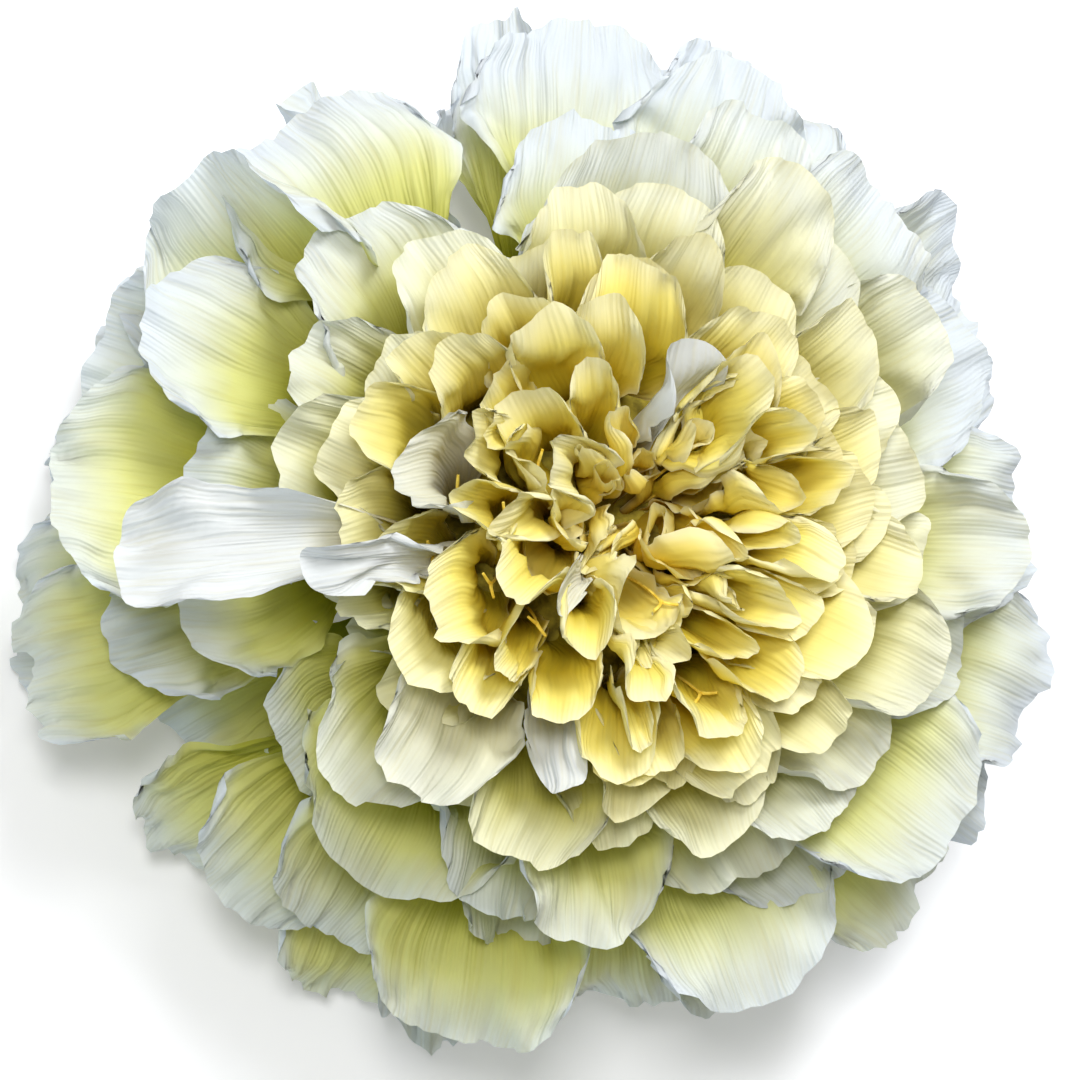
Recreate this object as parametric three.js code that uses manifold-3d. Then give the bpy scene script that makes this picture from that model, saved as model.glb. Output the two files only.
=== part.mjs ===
// African marigold flower: a double cream bloom with a golden heart, picked with a short
// stalk and laid face up on a table. Millimetres, +Z up, the table top at z = 0.

import * as THREE from 'three';
import { mergeVertices } from 'three/addons/utils/BufferGeometryUtils.js';
import Module from 'manifold-3d';

const wasm = await Module();
wasm.setup();

// Florets
const FLORET_COUNT = 120;
const SEED = 11;
const GOLDEN_ANGLE = Math.PI * (3 - Math.sqrt(5));
const BLADE_THICKNESS = 0.7;
const LEAST_THICKNESS = 0.6;
const BLADE_CELLS = 3;
const SKIRT_CELLS = 4;
const SKIRT_SHARE = 0.72;
const ROOT_COVER = 1.6;
const FIRST_SHARE = 0.1;
const LAST_SUNK_SHARE = 0.7;
const SHARE_STEP = 0.01;
const ACCENT_CLEARANCE = 4.5;

// Roots of the florets on the receptacle
const ROOT_RING_INNER = 2;
const ROOT_RING_WIDTH = 5.5;
const ROOT_HEIGHT = 24;
const ROOT_DROP = 4;
const ROOT_SPREAD = 1.3;
const STEEPEST_START = 90;
const START_FALL = 115;
const START_FALL_RATE = 1.15;
const TUBE_WIDTH = 3.2;
const TUBE_SHARE = 0.7;

// The heart leans a little to one side
const HEART_LEAN_X = 2.6;
const HEART_LEAN_Y = 1.1;
const HEART_LEAN_POWER = 3;
const ROOT_LEAN_SHARE = 0.4;

// Centre lines: how stiffly they leave the root and reach the tip, and their length
const HANDLE_SHARE = 0.42;
const LENGTH_PER_CHORD = 1.08;

// How far a floret strays from its layer, [everywhere, more where the bloom is wildest]
const STRAY = {
  swing: [0.07, 0.28],
  reach: [0.09, 0],
  shift: [0.8, 0],
  height: [1, 1.2],
  lean: [9, 14],
  width: [0.22, 0],
  mouth: [0.3, 0],
  roll: [0.2, 0.6],
  twist: [0.25, 0.5],
  side: [0.4, 0.3],
};
const WILD_SHARE = 0.16;
const WILD_HALF = 0.28;
const PHASE_COUNT = 8;

// Draws that run upwards, [least, how much more]
const RUFFLE_DRAW = [0.6, 0.8];
const LOBE_DRAW = [0.5, 1];
const WAVES_DRAW = [1, 1];
const LIP_DRAW = [0.5, 1.5];

// Stretches of a blade, [start, length] as shares of its own length
const WIDENING = [0.3, 0.56];
const OPENING = [0.35, 0.6];
const ROLLING = [0.3, 0.5];
const RUFFLING = [0.4, 0.4];
const TIP = [0.6, 0.4];
const TAPERING = [0.9, 0.1];
const LIP = [0.82, 0.18];

// Shapes within those stretches
const TIP_POWER = 2.3;
const TAPER = 0.1;
const LOBES = [[0.9, 3], [0.45, 6.5]];
const SIDE_WAVE = 0.05;
const SIDE_WAVE_COUNT = 3.1;
const SIDE_POWER = 2.6;
const END_POWER = 6;
const MIDRIB_FADE = 4;
const WAVE_LENGTH = 3;
const WAVE_LENGTH_PER_WIDTH = 0.6;
const WAVE_SHORTENING = 0.3;
const SHORT_WAVE = 0.45;
const SHORT_LENGTH = 0.47;
const BROAD_WAVE = 0.6;
const BROAD_TURN = 2.6;
const ROW_CROWDING = 0.85;

// Receptacle with the packed floret bases, [radius, height] from the bottom up
const RECEPTACLE_PROFILE = [
  [0, 15.8], [8.2, 15.8], [9.2, 20.3], [12.6, 20.8], [23, 18.2], [28, 20.8],
  [27.4, 28.5], [22.5, 34.5], [17, 37.5], [11.5, 38.5], [5, 37], [0, 34.5],
];
const RECEPTACLE_SIDES = 18;

// Surface between the golden heart and the cream rays, [radius, height]
const HEART_PROFILE = [
  [0, 26], [5.6, 27], [7.4, 31], [9.2, 35], [11.4, 39.5], [13.8, 44], [16, 48], [18, 52], [21, 60],
];
const HEART_SIDES = 20;
const HEART_SHIFT_X = 0.6;
const HEART_SHIFT_Y = 0.3;
const GAP = 0.32;

// Green cup of joined bracts under the head
const BRACT_COUNT = 8;
const SIDES_PER_BRACT = 6;
const CUP_PROFILE = [
  [3.3, 5.2], [5.4, 6], [7.6, 8.2], [9.1, 11.4], [10, 14.6],
];
const CUP_RIM_RADIUS = 10.6;
const CUP_TIP_RADIUS = 11.6;
const CUP_VALLEY_HEIGHT = 16.8;
const CUP_TIP_HEIGHT = 19.7;
const CUP_WALL = 1;
const CUP_FLOOR_HEIGHT = 15.4;
const CUP_RIB = 0.35;
// Ring left free round the cup's rim, [radius, height], closed on itself
const RIM_SPACE_PROFILE = [
  [8.7, 15.1], [12.3, 14], [12.3, 20.1], [10.2, 20.1], [8.7, 15.1],
];

// Cut stalk under the cup
const STALK_PROFILE = [
  [2.7, 0.6], [2.85, 0.75], [2.9, 2.4], [3.2, 4.2], [3.3, 4.9],
];
const STALK_RIB_COUNT = 8;
const STALK_SIDES_PER_RIB = 3;
const STALK_RIB = 0.18;

// How the florets change from the heart (share 0) to the lowest skirt (share 1). Reach and
// height place the tip, lean is the tip's slope in degrees, width is measured round the
// blade, throat and mouth are half angles of its curl at the bottom and at the tip.
const LAYERS = [
  { share: 0.00, reach: 1.2, height: 38, lean: 92, width: 6.5, mouth: 2.50, throat: 2.8,
    ruffle: 0.25, lobe: 0.35, round: 0.50 },
  { share: 0.06, reach: 4.4, height: 42.5, lean: 80, width: 7.5, mouth: 2.40, throat: 2.8,
    ruffle: 0.30, lobe: 0.35, round: 0.50 },
  { share: 0.13, reach: 8, height: 45.8, lean: 70, width: 8.2, mouth: 2.15, throat: 2.8,
    ruffle: 0.35, lobe: 0.30, round: 0.60 },
  { share: 0.23, reach: 12, height: 47.8, lean: 62, width: 8.8, mouth: 1.80, throat: 2.7,
    ruffle: 0.40, lobe: 0.20, round: 0.75 },
  { share: 0.35, reach: 15.5, height: 48.2, lean: 55, width: 9.4, mouth: 1.50, throat: 2.5,
    ruffle: 0.40, lobe: 0.12, round: 0.85 },
  { share: 0.49, reach: 20, height: 46.4, lean: 42, width: 10.2, mouth: 1.15, throat: 2.3,
    ruffle: 0.40, lobe: 0.15, round: 0.85 },
  { share: 0.62, reach: 25.5, height: 42.8, lean: 31, width: 12.5, mouth: 1.00, throat: 2.2,
    ruffle: 0.50, lobe: 0.20, round: 0.85 },
  { share: 0.73, reach: 32, height: 37, lean: 18, width: 16.5, mouth: 0.75, throat: 1.9,
    ruffle: 0.65, lobe: 0.30, round: 0.75 },
  { share: 0.82, reach: 39, height: 29, lean: 0, width: 19.5, mouth: 0.45, throat: 1.5,
    ruffle: 0.80, lobe: 0.45, round: 0.70 },
  { share: 0.90, reach: 44, height: 19, lean: -18, width: 20.5, mouth: 0.30, throat: 1.3,
    ruffle: 0.85, lobe: 0.50, round: 0.65 },
  { share: 0.95, reach: 44.5, height: 10, lean: -34, width: 19.5, mouth: 0.25, throat: 1.3,
    ruffle: 0.80, lobe: 0.50, round: 0.65 },
  { share: 1.00, reach: 41.5, height: 2.5, lean: -46, width: 17.5, mouth: 0.25, throat: 1.3,
    ruffle: 0.70, lobe: 0.50, round: 0.70 },
];

// Florets that stand out by themselves; azimuth, lean in degrees
const ACCENTS = [
  { azimuth: 184, reach: 40, height: 36, lean: -24, width: 10.5, mouth: 0.5, round: 0.5,
    roll: 0.15, twist: 0.2, ruffle: 1, share: 0.34 },
  { azimuth: 190, reach: 27, height: 44, lean: -6, width: 7, mouth: 0.8, round: 1,
    roll: -1, twist: 0.5, ruffle: 0.7, share: 0.3 },
  { azimuth: 78, reach: 14, height: 48.5, lean: 38, width: 6.5, mouth: 1.3, round: 1,
    roll: 0.5, twist: 0.3, ruffle: 0.4, share: 0.28 },
  { azimuth: 250, reach: 21.5, height: 44.5, lean: 24, width: 5.5, mouth: 1.2, round: 1.3,
    roll: 0.8, twist: 0.3, ruffle: 0.4, share: 0.46 },
  { azimuth: 216, reach: 8.5, height: 49.5, lean: 56, width: 4.6, mouth: 1.1, round: 1.5,
    roll: 0.2, twist: 0.1, ruffle: 0.3, share: 0.17 },
  { azimuth: 170, reach: 18.5, height: 47.8, lean: 55, width: 12.5, mouth: 1.35, round: 0.7,
    roll: 0.4, twist: 0.3, ruffle: 0.4, share: 0.4 },
  { azimuth: 203, reach: 12, height: 48.5, lean: 52, width: 10.5, mouth: 1.4, round: 0.7,
    roll: 0.3, twist: 0.2, ruffle: 0.4, share: 0.23 },
  { azimuth: 35, reach: 48, height: 18, lean: -6, width: 22, mouth: 0.6, round: 1.2,
    roll: 0.35, twist: 0.2, ruffle: 0.6, share: 0.86 },
  { azimuth: 139, reach: 43, height: 26, lean: 2, width: 23, mouth: 0.8, round: 0.6,
    roll: -0.6, twist: -0.3, ruffle: 0.7, share: 0.83 },
  { azimuth: 121, reach: 42.5, height: 19, lean: 8, width: 11, mouth: 1.5, round: 1.1,
    roll: 0.4, twist: 0.5, ruffle: 0.6, share: 0.85 },
  { azimuth: 93, reach: 45, height: 14, lean: -5, width: 10, mouth: 0.9, round: 1.2,
    roll: -0.3, twist: -0.3, ruffle: 0.6, share: 0.9 },
  { azimuth: 229, reach: 27, height: 41.5, lean: 12, width: 13, mouth: 0.9, round: 0.8,
    roll: 0, twist: 0.1, ruffle: 0.5, share: 0.6 },
  { azimuth: 189, reach: 43, height: 0, lean: -50, width: 17, mouth: 0.4, round: 0.7,
    roll: 0.1, twist: 0.2, ruffle: 0.7, share: 0.97 },
  { azimuth: 224, reach: 40, height: 5, lean: -50, width: 19, mouth: 0.4, round: 0.7,
    roll: -0.1, twist: -0.2, ruffle: 0.7, share: 0.97 },
  // skirt florets that close the gaps over the cup
  { azimuth: 64, reach: 43, height: 6, lean: -40, width: 18, mouth: 0.3, round: 0.7,
    roll: 0.1, twist: 0.1, ruffle: 0.7, share: 0.96 },
  { azimuth: 152, reach: 39, height: 5, lean: -46, width: 17, mouth: 0.3, round: 0.7,
    roll: -0.1, twist: 0.1, ruffle: 0.7, share: 0.98 },
  { azimuth: 285, reach: 38, height: 4, lean: -48, width: 17, mouth: 0.3, round: 0.7,
    roll: 0.1, twist: -0.1, ruffle: 0.7, share: 0.98 },
  // four skirt florets pressed flat on the table, on which the flower rests
  { azimuth: 20, reach: 38, height: -6, lean: -8, width: 17, mouth: 0.3, round: 0.6,
    roll: 0, twist: 0, ruffle: 0.4, share: 0.99 },
  { azimuth: 132, reach: 38, height: -6, lean: -8, width: 17, mouth: 0.3, round: 0.6,
    roll: 0, twist: 0, ruffle: 0.4, share: 0.99 },
  { azimuth: 250, reach: 38, height: -6, lean: -8, width: 17, mouth: 0.3, round: 0.6,
    roll: 0, twist: 0, ruffle: 0.4, share: 0.99 },
  { azimuth: 318, reach: 38, height: -6, lean: -8, width: 17, mouth: 0.3, round: 0.6,
    roll: 0, twist: 0, ruffle: 0.4, share: 0.99 },
];
const ACCENT_SEED = 1000;

// Places in the outline where the skirt is shorter, or longer where the depth is negative
const NOTCHES = [
  { azimuth: 105, depth: 0.26, half: 6 },
  { azimuth: 13, depth: 0.18, half: 6 },
  { azimuth: 146, depth: 0.08, half: 6 },
  { azimuth: 152, depth: -0.05, half: 5 },
  { azimuth: 168, depth: 0.08, half: 6 },
  { azimuth: 207, depth: 0.22, half: 8 },
  { azimuth: 218, depth: 0.06, half: 26 },
  { azimuth: 234, depth: 0.1, half: 6 },
  { azimuth: 248, depth: 0.1, half: 7 },
  { azimuth: 279, depth: 0.11, half: 7 },
  { azimuth: 70, depth: -0.14, half: 16 },
  { azimuth: 358, depth: -0.07, half: 8 },
  { azimuth: 325, depth: -0.07, half: 16 },
  { azimuth: 312, depth: 0.1, half: 5 },
];
// Gaps that skirt florets are turned aside from
const GAPS = [
  { azimuth: 105, half: 7 },
  { azimuth: 14, half: 1 },
  { azimuth: 40, half: 1 },
  { azimuth: 206, half: 1 },
  { azimuth: 279, half: 1 },
];
const GAP_START = 0.66;
const GAP_WIDTH_SHARE = 0.8;
const GAP_SPREAD = 0.15;
const NOTCH_START = 0.55;
const NOTCH_FADE = 0.15;

// Tolerances of the joined solids
const WELD = 1e-4;
const SHORTEST_EDGE = 0.5;
const LEAST_FACING = 0.5;
const TIDY_PASSES = 6;
const TIDY_ROUNDS = 3;
const SMALL_AREA = 0.02;
const TWIN_DISTANCE = 0.01;
const TWIN_SHIFT = 0.06;

const radians = THREE.MathUtils.degToRad;
const clamp = THREE.MathUtils.clamp;
const TURN = 2 * Math.PI;

function smooth(value) {
  const x = clamp(value, 0, 1);
  return x * x * (3 - 2 * x);
}

// Rises from 0 to 1 over a stretch of the blade
function rise(s, [start, length]) {
  return smooth((s - start) / length);
}

// Angle in degrees from one azimuth to another, -180 to 180
function degreesFrom(centre, azimuth) {
  const turned = THREE.MathUtils.radToDeg(azimuth) - centre + 180;
  return turned - 360 * Math.floor(turned / 360) - 180;
}

// A repeatable stream of numbers between 0 and 1
class SeededDraw {
  constructor(seed) {
    this.state = seed;
    for (let step = 0; step < 6; step += 1) {
      this.next();
    }
  }

  next() {
    this.state = (this.state * 48271) % 2147483647;
    return this.state / 2147483647;
  }

  spread(most) {
    return most * (2 * this.next() - 1);
  }
}

function layerAt(share) {
  let upper = LAYERS.findIndex((layer) => layer.share >= share);
  upper = Math.max(upper, 1);
  const from = LAYERS[upper - 1];
  const to = LAYERS[upper];
  const mix = (share - from.share) / (to.share - from.share);
  const layer = {};
  for (const key of Object.keys(from)) {
    layer[key] = THREE.MathUtils.lerp(from[key], to[key], mix);
  }
  return layer;
}

// How much shorter the skirt is at an azimuth
function notchFactor(azimuth, share) {
  let cut = 0;
  for (const notch of NOTCHES) {
    cut += notch.depth * Math.exp(-((degreesFrom(notch.azimuth, azimuth) / notch.half) ** 2));
  }
  return 1 - cut * clamp((share - NOTCH_START) / NOTCH_FADE, 0, 1);
}

// Turns a skirt floret aside where the outline has a deep gap
function clearOfGaps(floret) {
  const halfTurn = THREE.MathUtils.radToDeg(GAP_WIDTH_SHARE * floret.width / 2 / floret.reach);
  for (const gap of GAPS) {
    const off = degreesFrom(gap.azimuth, floret.azimuth);
    const room = gap.half + halfTurn;
    if (floret.share > GAP_START && Math.abs(off) < room) {
      const moved = room - GAP_SPREAD * (room - Math.abs(off));
      return radians(gap.azimuth + (off < 0 ? -moved : moved));
    }
  }
  return floret.azimuth;
}

// Draws one floret's own proportions from its layer
function drawFloret(number, share, azimuth) {
  const draw = new SeededDraw(SEED + number);
  const layer = layerAt(share);
  const wild = Math.max(0, 1 - Math.abs(share - WILD_SHARE) / WILD_HALF);
  const stray = (key) => draw.spread(STRAY[key][0] + STRAY[key][1] * wild);
  const upwards = ([least, more]) => least + more * draw.next();
  const floret = { share, azimuth, throat: layer.throat, round: layer.round };
  floret.swing = stray('swing');
  floret.reach = layer.reach * (1 + stray('reach'));
  floret.reach += stray('shift');
  floret.height = layer.height + stray('height');
  floret.lean = radians(layer.lean + stray('lean'));
  floret.width = layer.width * (1 + stray('width'));
  floret.mouth = layer.mouth * (1 + stray('mouth'));
  floret.ruffle = layer.ruffle * upwards(RUFFLE_DRAW);
  floret.lobe = layer.lobe * upwards(LOBE_DRAW);
  floret.roll = stray('roll');
  floret.twist = stray('twist');
  floret.waves = upwards(WAVES_DRAW);
  floret.phases = [];
  for (let k = 0; k < PHASE_COUNT; k += 1) {
    floret.phases.push(TURN * draw.next());
  }
  floret.side = stray('side');
  floret.lip = upwards(LIP_DRAW);
  floret.reach *= notchFactor(azimuth + floret.swing, share);
  floret.azimuth = clearOfGaps(floret);
  const offset = (1 - share) ** HEART_LEAN_POWER;
  floret.offsetX = HEART_LEAN_X * offset;
  floret.offsetY = HEART_LEAN_Y * offset;
  return floret;
}

function heading(azimuth, slope) {
  const flat = Math.cos(slope);
  return new THREE.Vector3(Math.cos(azimuth) * flat, Math.sin(azimuth) * flat, Math.sin(slope));
}

// Centre line of a floret, from its root on the receptacle to its tip
function layOut(floret) {
  const spread = Math.min(1, ROOT_SPREAD * floret.share);
  const rootRadius = ROOT_RING_INNER + ROOT_RING_WIDTH * spread;
  const tipAzimuth = floret.azimuth + floret.swing;
  const start = radians(STEEPEST_START - START_FALL * smooth(START_FALL_RATE * floret.share));
  const root = new THREE.Vector3(
    rootRadius * Math.cos(floret.azimuth) + floret.offsetX * ROOT_LEAN_SHARE,
    rootRadius * Math.sin(floret.azimuth) + floret.offsetY * ROOT_LEAN_SHARE,
    ROOT_HEIGHT - ROOT_DROP * spread ** 2,
  );
  const tip = new THREE.Vector3(
    floret.reach * Math.cos(tipAzimuth) + floret.offsetX,
    floret.reach * Math.sin(tipAzimuth) + floret.offsetY,
    floret.height,
  );
  const chord = root.distanceTo(tip);
  const leave = heading(floret.azimuth, start).multiplyScalar(HANDLE_SHARE * chord);
  const arrive = heading(tipAzimuth, floret.lean).multiplyScalar(HANDLE_SHARE * chord);
  floret.line = [root, root.clone().add(leave), tip.clone().sub(arrive), tip];
  floret.length = LENGTH_PER_CHORD * chord;
  const middle = (floret.azimuth + tipAzimuth) / 2;
  floret.sideways = new THREE.Vector3(-Math.sin(middle), Math.cos(middle), 0);
  return floret;
}

function ordinaryFloret(number) {
  const share = (number + 0.5) / FLORET_COUNT;
  return layOut(drawFloret(number, share, (number * GOLDEN_ANGLE) % TURN));
}

function accentFloret(accent, index) {
  const floret = drawFloret(ACCENT_SEED + index, accent.share, radians(accent.azimuth));
  for (const key of ['reach', 'height', 'width', 'mouth', 'round', 'roll', 'twist', 'ruffle']) {
    floret[key] = accent[key];
  }
  floret.lean = radians(accent.lean);
  floret.azimuth = radians(accent.azimuth);
  floret.swing = 0;
  floret.offsetX = 0;
  floret.offsetY = 0;
  return layOut(floret);
}

// The whole spiral; an ordinary floret gives way where an accent stands
function allFlorets() {
  const accents = ACCENTS.map(accentFloret);
  const florets = [];
  for (let number = 0; number < FLORET_COUNT; number += 1) {
    const floret = ordinaryFloret(number);
    const tip = floret.line[3];
    if (accents.every((accent) => accent.line[3].distanceTo(tip) >= ACCENT_CLEARANCE)) {
      florets.push(floret);
    }
  }
  return florets.concat(accents);
}

function linePoint(line, q) {
  const p = 1 - q;
  return new THREE.Vector3()
    .addScaledVector(line[0], p ** 3)
    .addScaledVector(line[1], 3 * p * p * q)
    .addScaledVector(line[2], 3 * p * q * q)
    .addScaledVector(line[3], q ** 3);
}

function lineHeading(line, q) {
  const p = 1 - q;
  return new THREE.Vector3()
    .addScaledVector(line[1].clone().sub(line[0]), 3 * p * p)
    .addScaledVector(line[2].clone().sub(line[1]), 6 * p * q)
    .addScaledVector(line[3].clone().sub(line[2]), 3 * q * q)
    .normalize();
}

// Share of the centre line that a point of the blade lies over: the tip is rounded and lobed
function shareAlong(floret, s, t) {
  const tipness = rise(s, TIP);
  const depth = 1 - Math.sqrt(clamp(1 - Math.abs(t) ** TIP_POWER, 0, 1));
  const rounding = (floret.round * floret.width * depth * tipness) / (2 * floret.length);
  let wave = 0;
  LOBES.forEach(([size, turn], k) => {
    wave += size * Math.cos(turn * t * floret.waves + floret.phases[4 + k]);
  });
  return s * (1 - rounding) + (floret.lobe * wave * tipness) / floret.length;
}

function widthAlong(floret, s, t) {
  const tube = Math.min(TUBE_WIDTH, TUBE_SHARE * floret.width);
  const phase = t > 0 ? floret.phases[6] : floret.phases[7];
  const spread = tube + (floret.width - tube) * rise(s, WIDENING);
  const wave = SIDE_WAVE * floret.lobe * Math.sin(TURN * s * SIDE_WAVE_COUNT * floret.waves + phase);
  return spread * (1 - TAPER * rise(s, TAPERING)) * (1 + wave * rise(s, RUFFLING));
}

// Ruffles that run round the blade's margin, with a broad wave across it
function ruffleAt(floret, s, t) {
  const place = (t * floret.width) / 2 + Math.tanh(MIDRIB_FADE * t) * (1 - s) * floret.length;
  const shortening = 1 - WAVE_SHORTENING * (floret.waves - 1);
  const length = (WAVE_LENGTH + WAVE_LENGTH_PER_WIDTH * floret.width) * shortening;
  const wave = Math.sin((TURN * place) / length + floret.phases[0])
    + SHORT_WAVE * Math.sin((TURN * place) / (SHORT_LENGTH * length) + floret.phases[1]);
  const nearness = 1 - (1 - Math.abs(t) ** SIDE_POWER) * (1 - s ** END_POWER);
  const broad = BROAD_WAVE * Math.sin(BROAD_TURN * floret.waves * t + floret.phases[3]);
  return floret.ruffle * (wave * nearness * rise(s, RUFFLING) + broad * rise(s, OPENING));
}

// Point of the blade's inner face, s from root to tip, t from -1 to 1 across
function bladePoint(floret, s, t) {
  const q = shareAlong(floret, s, t);
  const along = lineHeading(floret.line, q);
  const inward = along.clone().cross(floret.sideways).normalize();
  const across = inward.clone().cross(along);
  const roll = floret.roll * rise(s, ROLLING) + floret.twist * rise(s, TIP);
  const rolledAcross = across.clone()
    .multiplyScalar(Math.cos(roll))
    .addScaledVector(inward, Math.sin(roll));
  const rolledInward = inward.clone()
    .multiplyScalar(Math.cos(roll))
    .addScaledVector(across, -Math.sin(roll));
  let curl = floret.throat + (floret.mouth - floret.throat) * rise(s, OPENING);
  curl *= 1 + (floret.side * t) / 2;
  const radius = widthAlong(floret, s, t) / 2 / curl;
  const lip = floret.lip * rise(q, LIP) ** 2;
  const lift = radius * (1 - Math.cos(curl * t)) + ruffleAt(floret, s, t) - lip;
  return linePoint(floret.line, q)
    .addScaledVector(rolledAcross, radius * Math.sin(curl * t))
    .addScaledVector(rolledInward, lift);
}

// Directions out of the blade's back at the points of its inner face, from the cells round each
function backDirections(inner, rows, columns) {
  const directions = inner.map(() => new THREE.Vector3());
  for (let row = 0; row < rows; row += 1) {
    for (let column = 0; column < columns; column += 1) {
      const a = row * (columns + 1) + column;
      const corners = [a, a + 1, a + columns + 2, a + columns + 1];
      const [nearLeft, nearRight, farRight, farLeft] = corners.map((corner) => inner[corner]);
      const diagonal = farRight.clone().sub(nearLeft);
      const facing = diagonal.cross(farLeft.clone().sub(nearRight)).normalize();
      corners.forEach((corner) => directions[corner].add(facing));
    }
  }
  return directions.map((direction) => direction.normalize());
}

// Radius of a lathed profile at a height, 0 past its ends
function profileRadius(profile, height) {
  for (let k = 1; k < profile.length; k += 1) {
    const [lowRadius, low] = profile[k - 1];
    const [highRadius, high] = profile[k];
    if (height >= low && height <= high && high > low) {
      return lowRadius + ((highRadius - lowRadius) * (height - low)) / (high - low);
    }
  }
  return 0;
}

// Where the blade comes out of the receptacle, less the part that stays sunk in it
function sunkShare(floret) {
  let s = FIRST_SHARE;
  while (s < LAST_SUNK_SHARE) {
    const point = linePoint(floret.line, s);
    if (Math.hypot(point.x, point.y) > profileRadius(RECEPTACLE_PROFILE, point.z)) {
      break;
    }
    s += SHARE_STEP;
  }
  return Math.max(FIRST_SHARE, s - ROOT_COVER / floret.length);
}

function manifoldFrom(positions, triangles) {
  return new wasm.Manifold(new wasm.Mesh({
    numProp: 3,
    vertProperties: new Float32Array(positions),
    triVerts: new Uint32Array(triangles),
  }));
}

// One blade as a closed solid, its two faces split into triangles alike
function bladeSolid(floret) {
  const rows = floret.share < SKIRT_SHARE ? BLADE_CELLS : SKIRT_CELLS;
  const columns = rows;
  const first = sunkShare(floret);
  const inner = [];
  for (let row = 0; row <= rows; row += 1) {
    const s = first + (1 - first) * (row / rows) ** ROW_CROWDING;
    for (let column = 0; column <= columns; column += 1) {
      inner.push(bladePoint(floret, s, -1 + (2 * column) / columns));
    }
  }
  const outer = backDirections(inner, rows, columns).map((direction, k) => (
    direction.multiplyScalar(BLADE_THICKNESS).add(inner[k])
  ));
  outer.forEach((point, k) => {
    point.z = Math.max(point.z, 0);
    inner[k].z = Math.max(inner[k].z, LEAST_THICKNESS);
    if (point.z < LEAST_THICKNESS) {
      inner[k].z = Math.max(inner[k].z, point.z + LEAST_THICKNESS);
    }
  });
  const positions = inner.concat(outer).flatMap((point) => point.toArray());
  const count = (rows + 1) * (columns + 1);
  const at = (row, column) => row * (columns + 1) + column;
  const triangles = [];
  const border = [];
  for (let row = 0; row < rows; row += 1) {
    for (let column = 0; column < columns; column += 1) {
      const a = at(row, column);
      const b = at(row, column + 1);
      const c = at(row + 1, column + 1);
      const d = at(row + 1, column);
      triangles.push(a, c, b, a, d, c);
      triangles.push(a + count, b + count, c + count, a + count, c + count, d + count);
    }
  }
  for (let column = 0; column < columns; column += 1) {
    border.push(at(0, column));
  }
  for (let row = 0; row < rows; row += 1) {
    border.push(at(row, columns));
  }
  for (let column = columns; column > 0; column -= 1) {
    border.push(at(rows, column));
  }
  for (let row = rows; row > 0; row -= 1) {
    border.push(at(row, 0));
  }
  border.forEach((a, k) => {
    const b = border[(k + 1) % border.length];
    triangles.push(a, b, b + count, a, b + count, a + count);
  });
  return manifoldFrom(positions, triangles);
}

// A closed geometry as a solid, with its doubled vertices joined
function solidFromGeometry(geometry) {
  geometry.deleteAttribute('normal');
  geometry.deleteAttribute('uv');
  const merged = mergeVertices(geometry, WELD);
  const index = merged.index.array;
  const triangles = [];
  for (let k = 0; k < index.length; k += 3) {
    const [a, b, c] = [index[k], index[k + 1], index[k + 2]];
    if (a !== b && b !== c && c !== a) {
      triangles.push(a, b, c);
    }
  }
  return manifoldFrom(merged.attributes.position.array, triangles);
}

// Solid of revolution about z from [radius, height] pairs that start and end on the axis
function lathedSolid(profile, sides) {
  const outline = profile.map(([radius, height]) => new THREE.Vector2(radius, height));
  const geometry = new THREE.LatheGeometry(outline, sides);
  geometry.rotateX(Math.PI / 2);
  return solidFromGeometry(geometry);
}

// The inside of the surface between heart and rays, drawn in or out by an offset
function heartSpace(offset) {
  const profile = HEART_PROFILE.map(([radius, height]) => [
    radius === 0 ? 0 : radius + offset,
    height - offset,
  ]);
  profile.push([0, profile[profile.length - 1][1]]);
  return lathedSolid(profile, HEART_SIDES).translate([HEART_SHIFT_X, HEART_SHIFT_Y, 0]);
}

// The biggest body of a solid, without loose scraps and sealed hollows
function mainBody(solid) {
  let best = null;
  for (const piece of solid.decompose()) {
    if (best === null || piece.volume() > best.volume()) {
      best = piece;
    }
  }
  return best;
}

// Normal of a triangle, as long as the triangle is large
function faceVector(points, [a, b, c]) {
  const first = points[b].clone().sub(points[a]);
  const second = points[c].clone().sub(points[a]);
  return first.cross(second).multiplyScalar(0.5);
}

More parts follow.
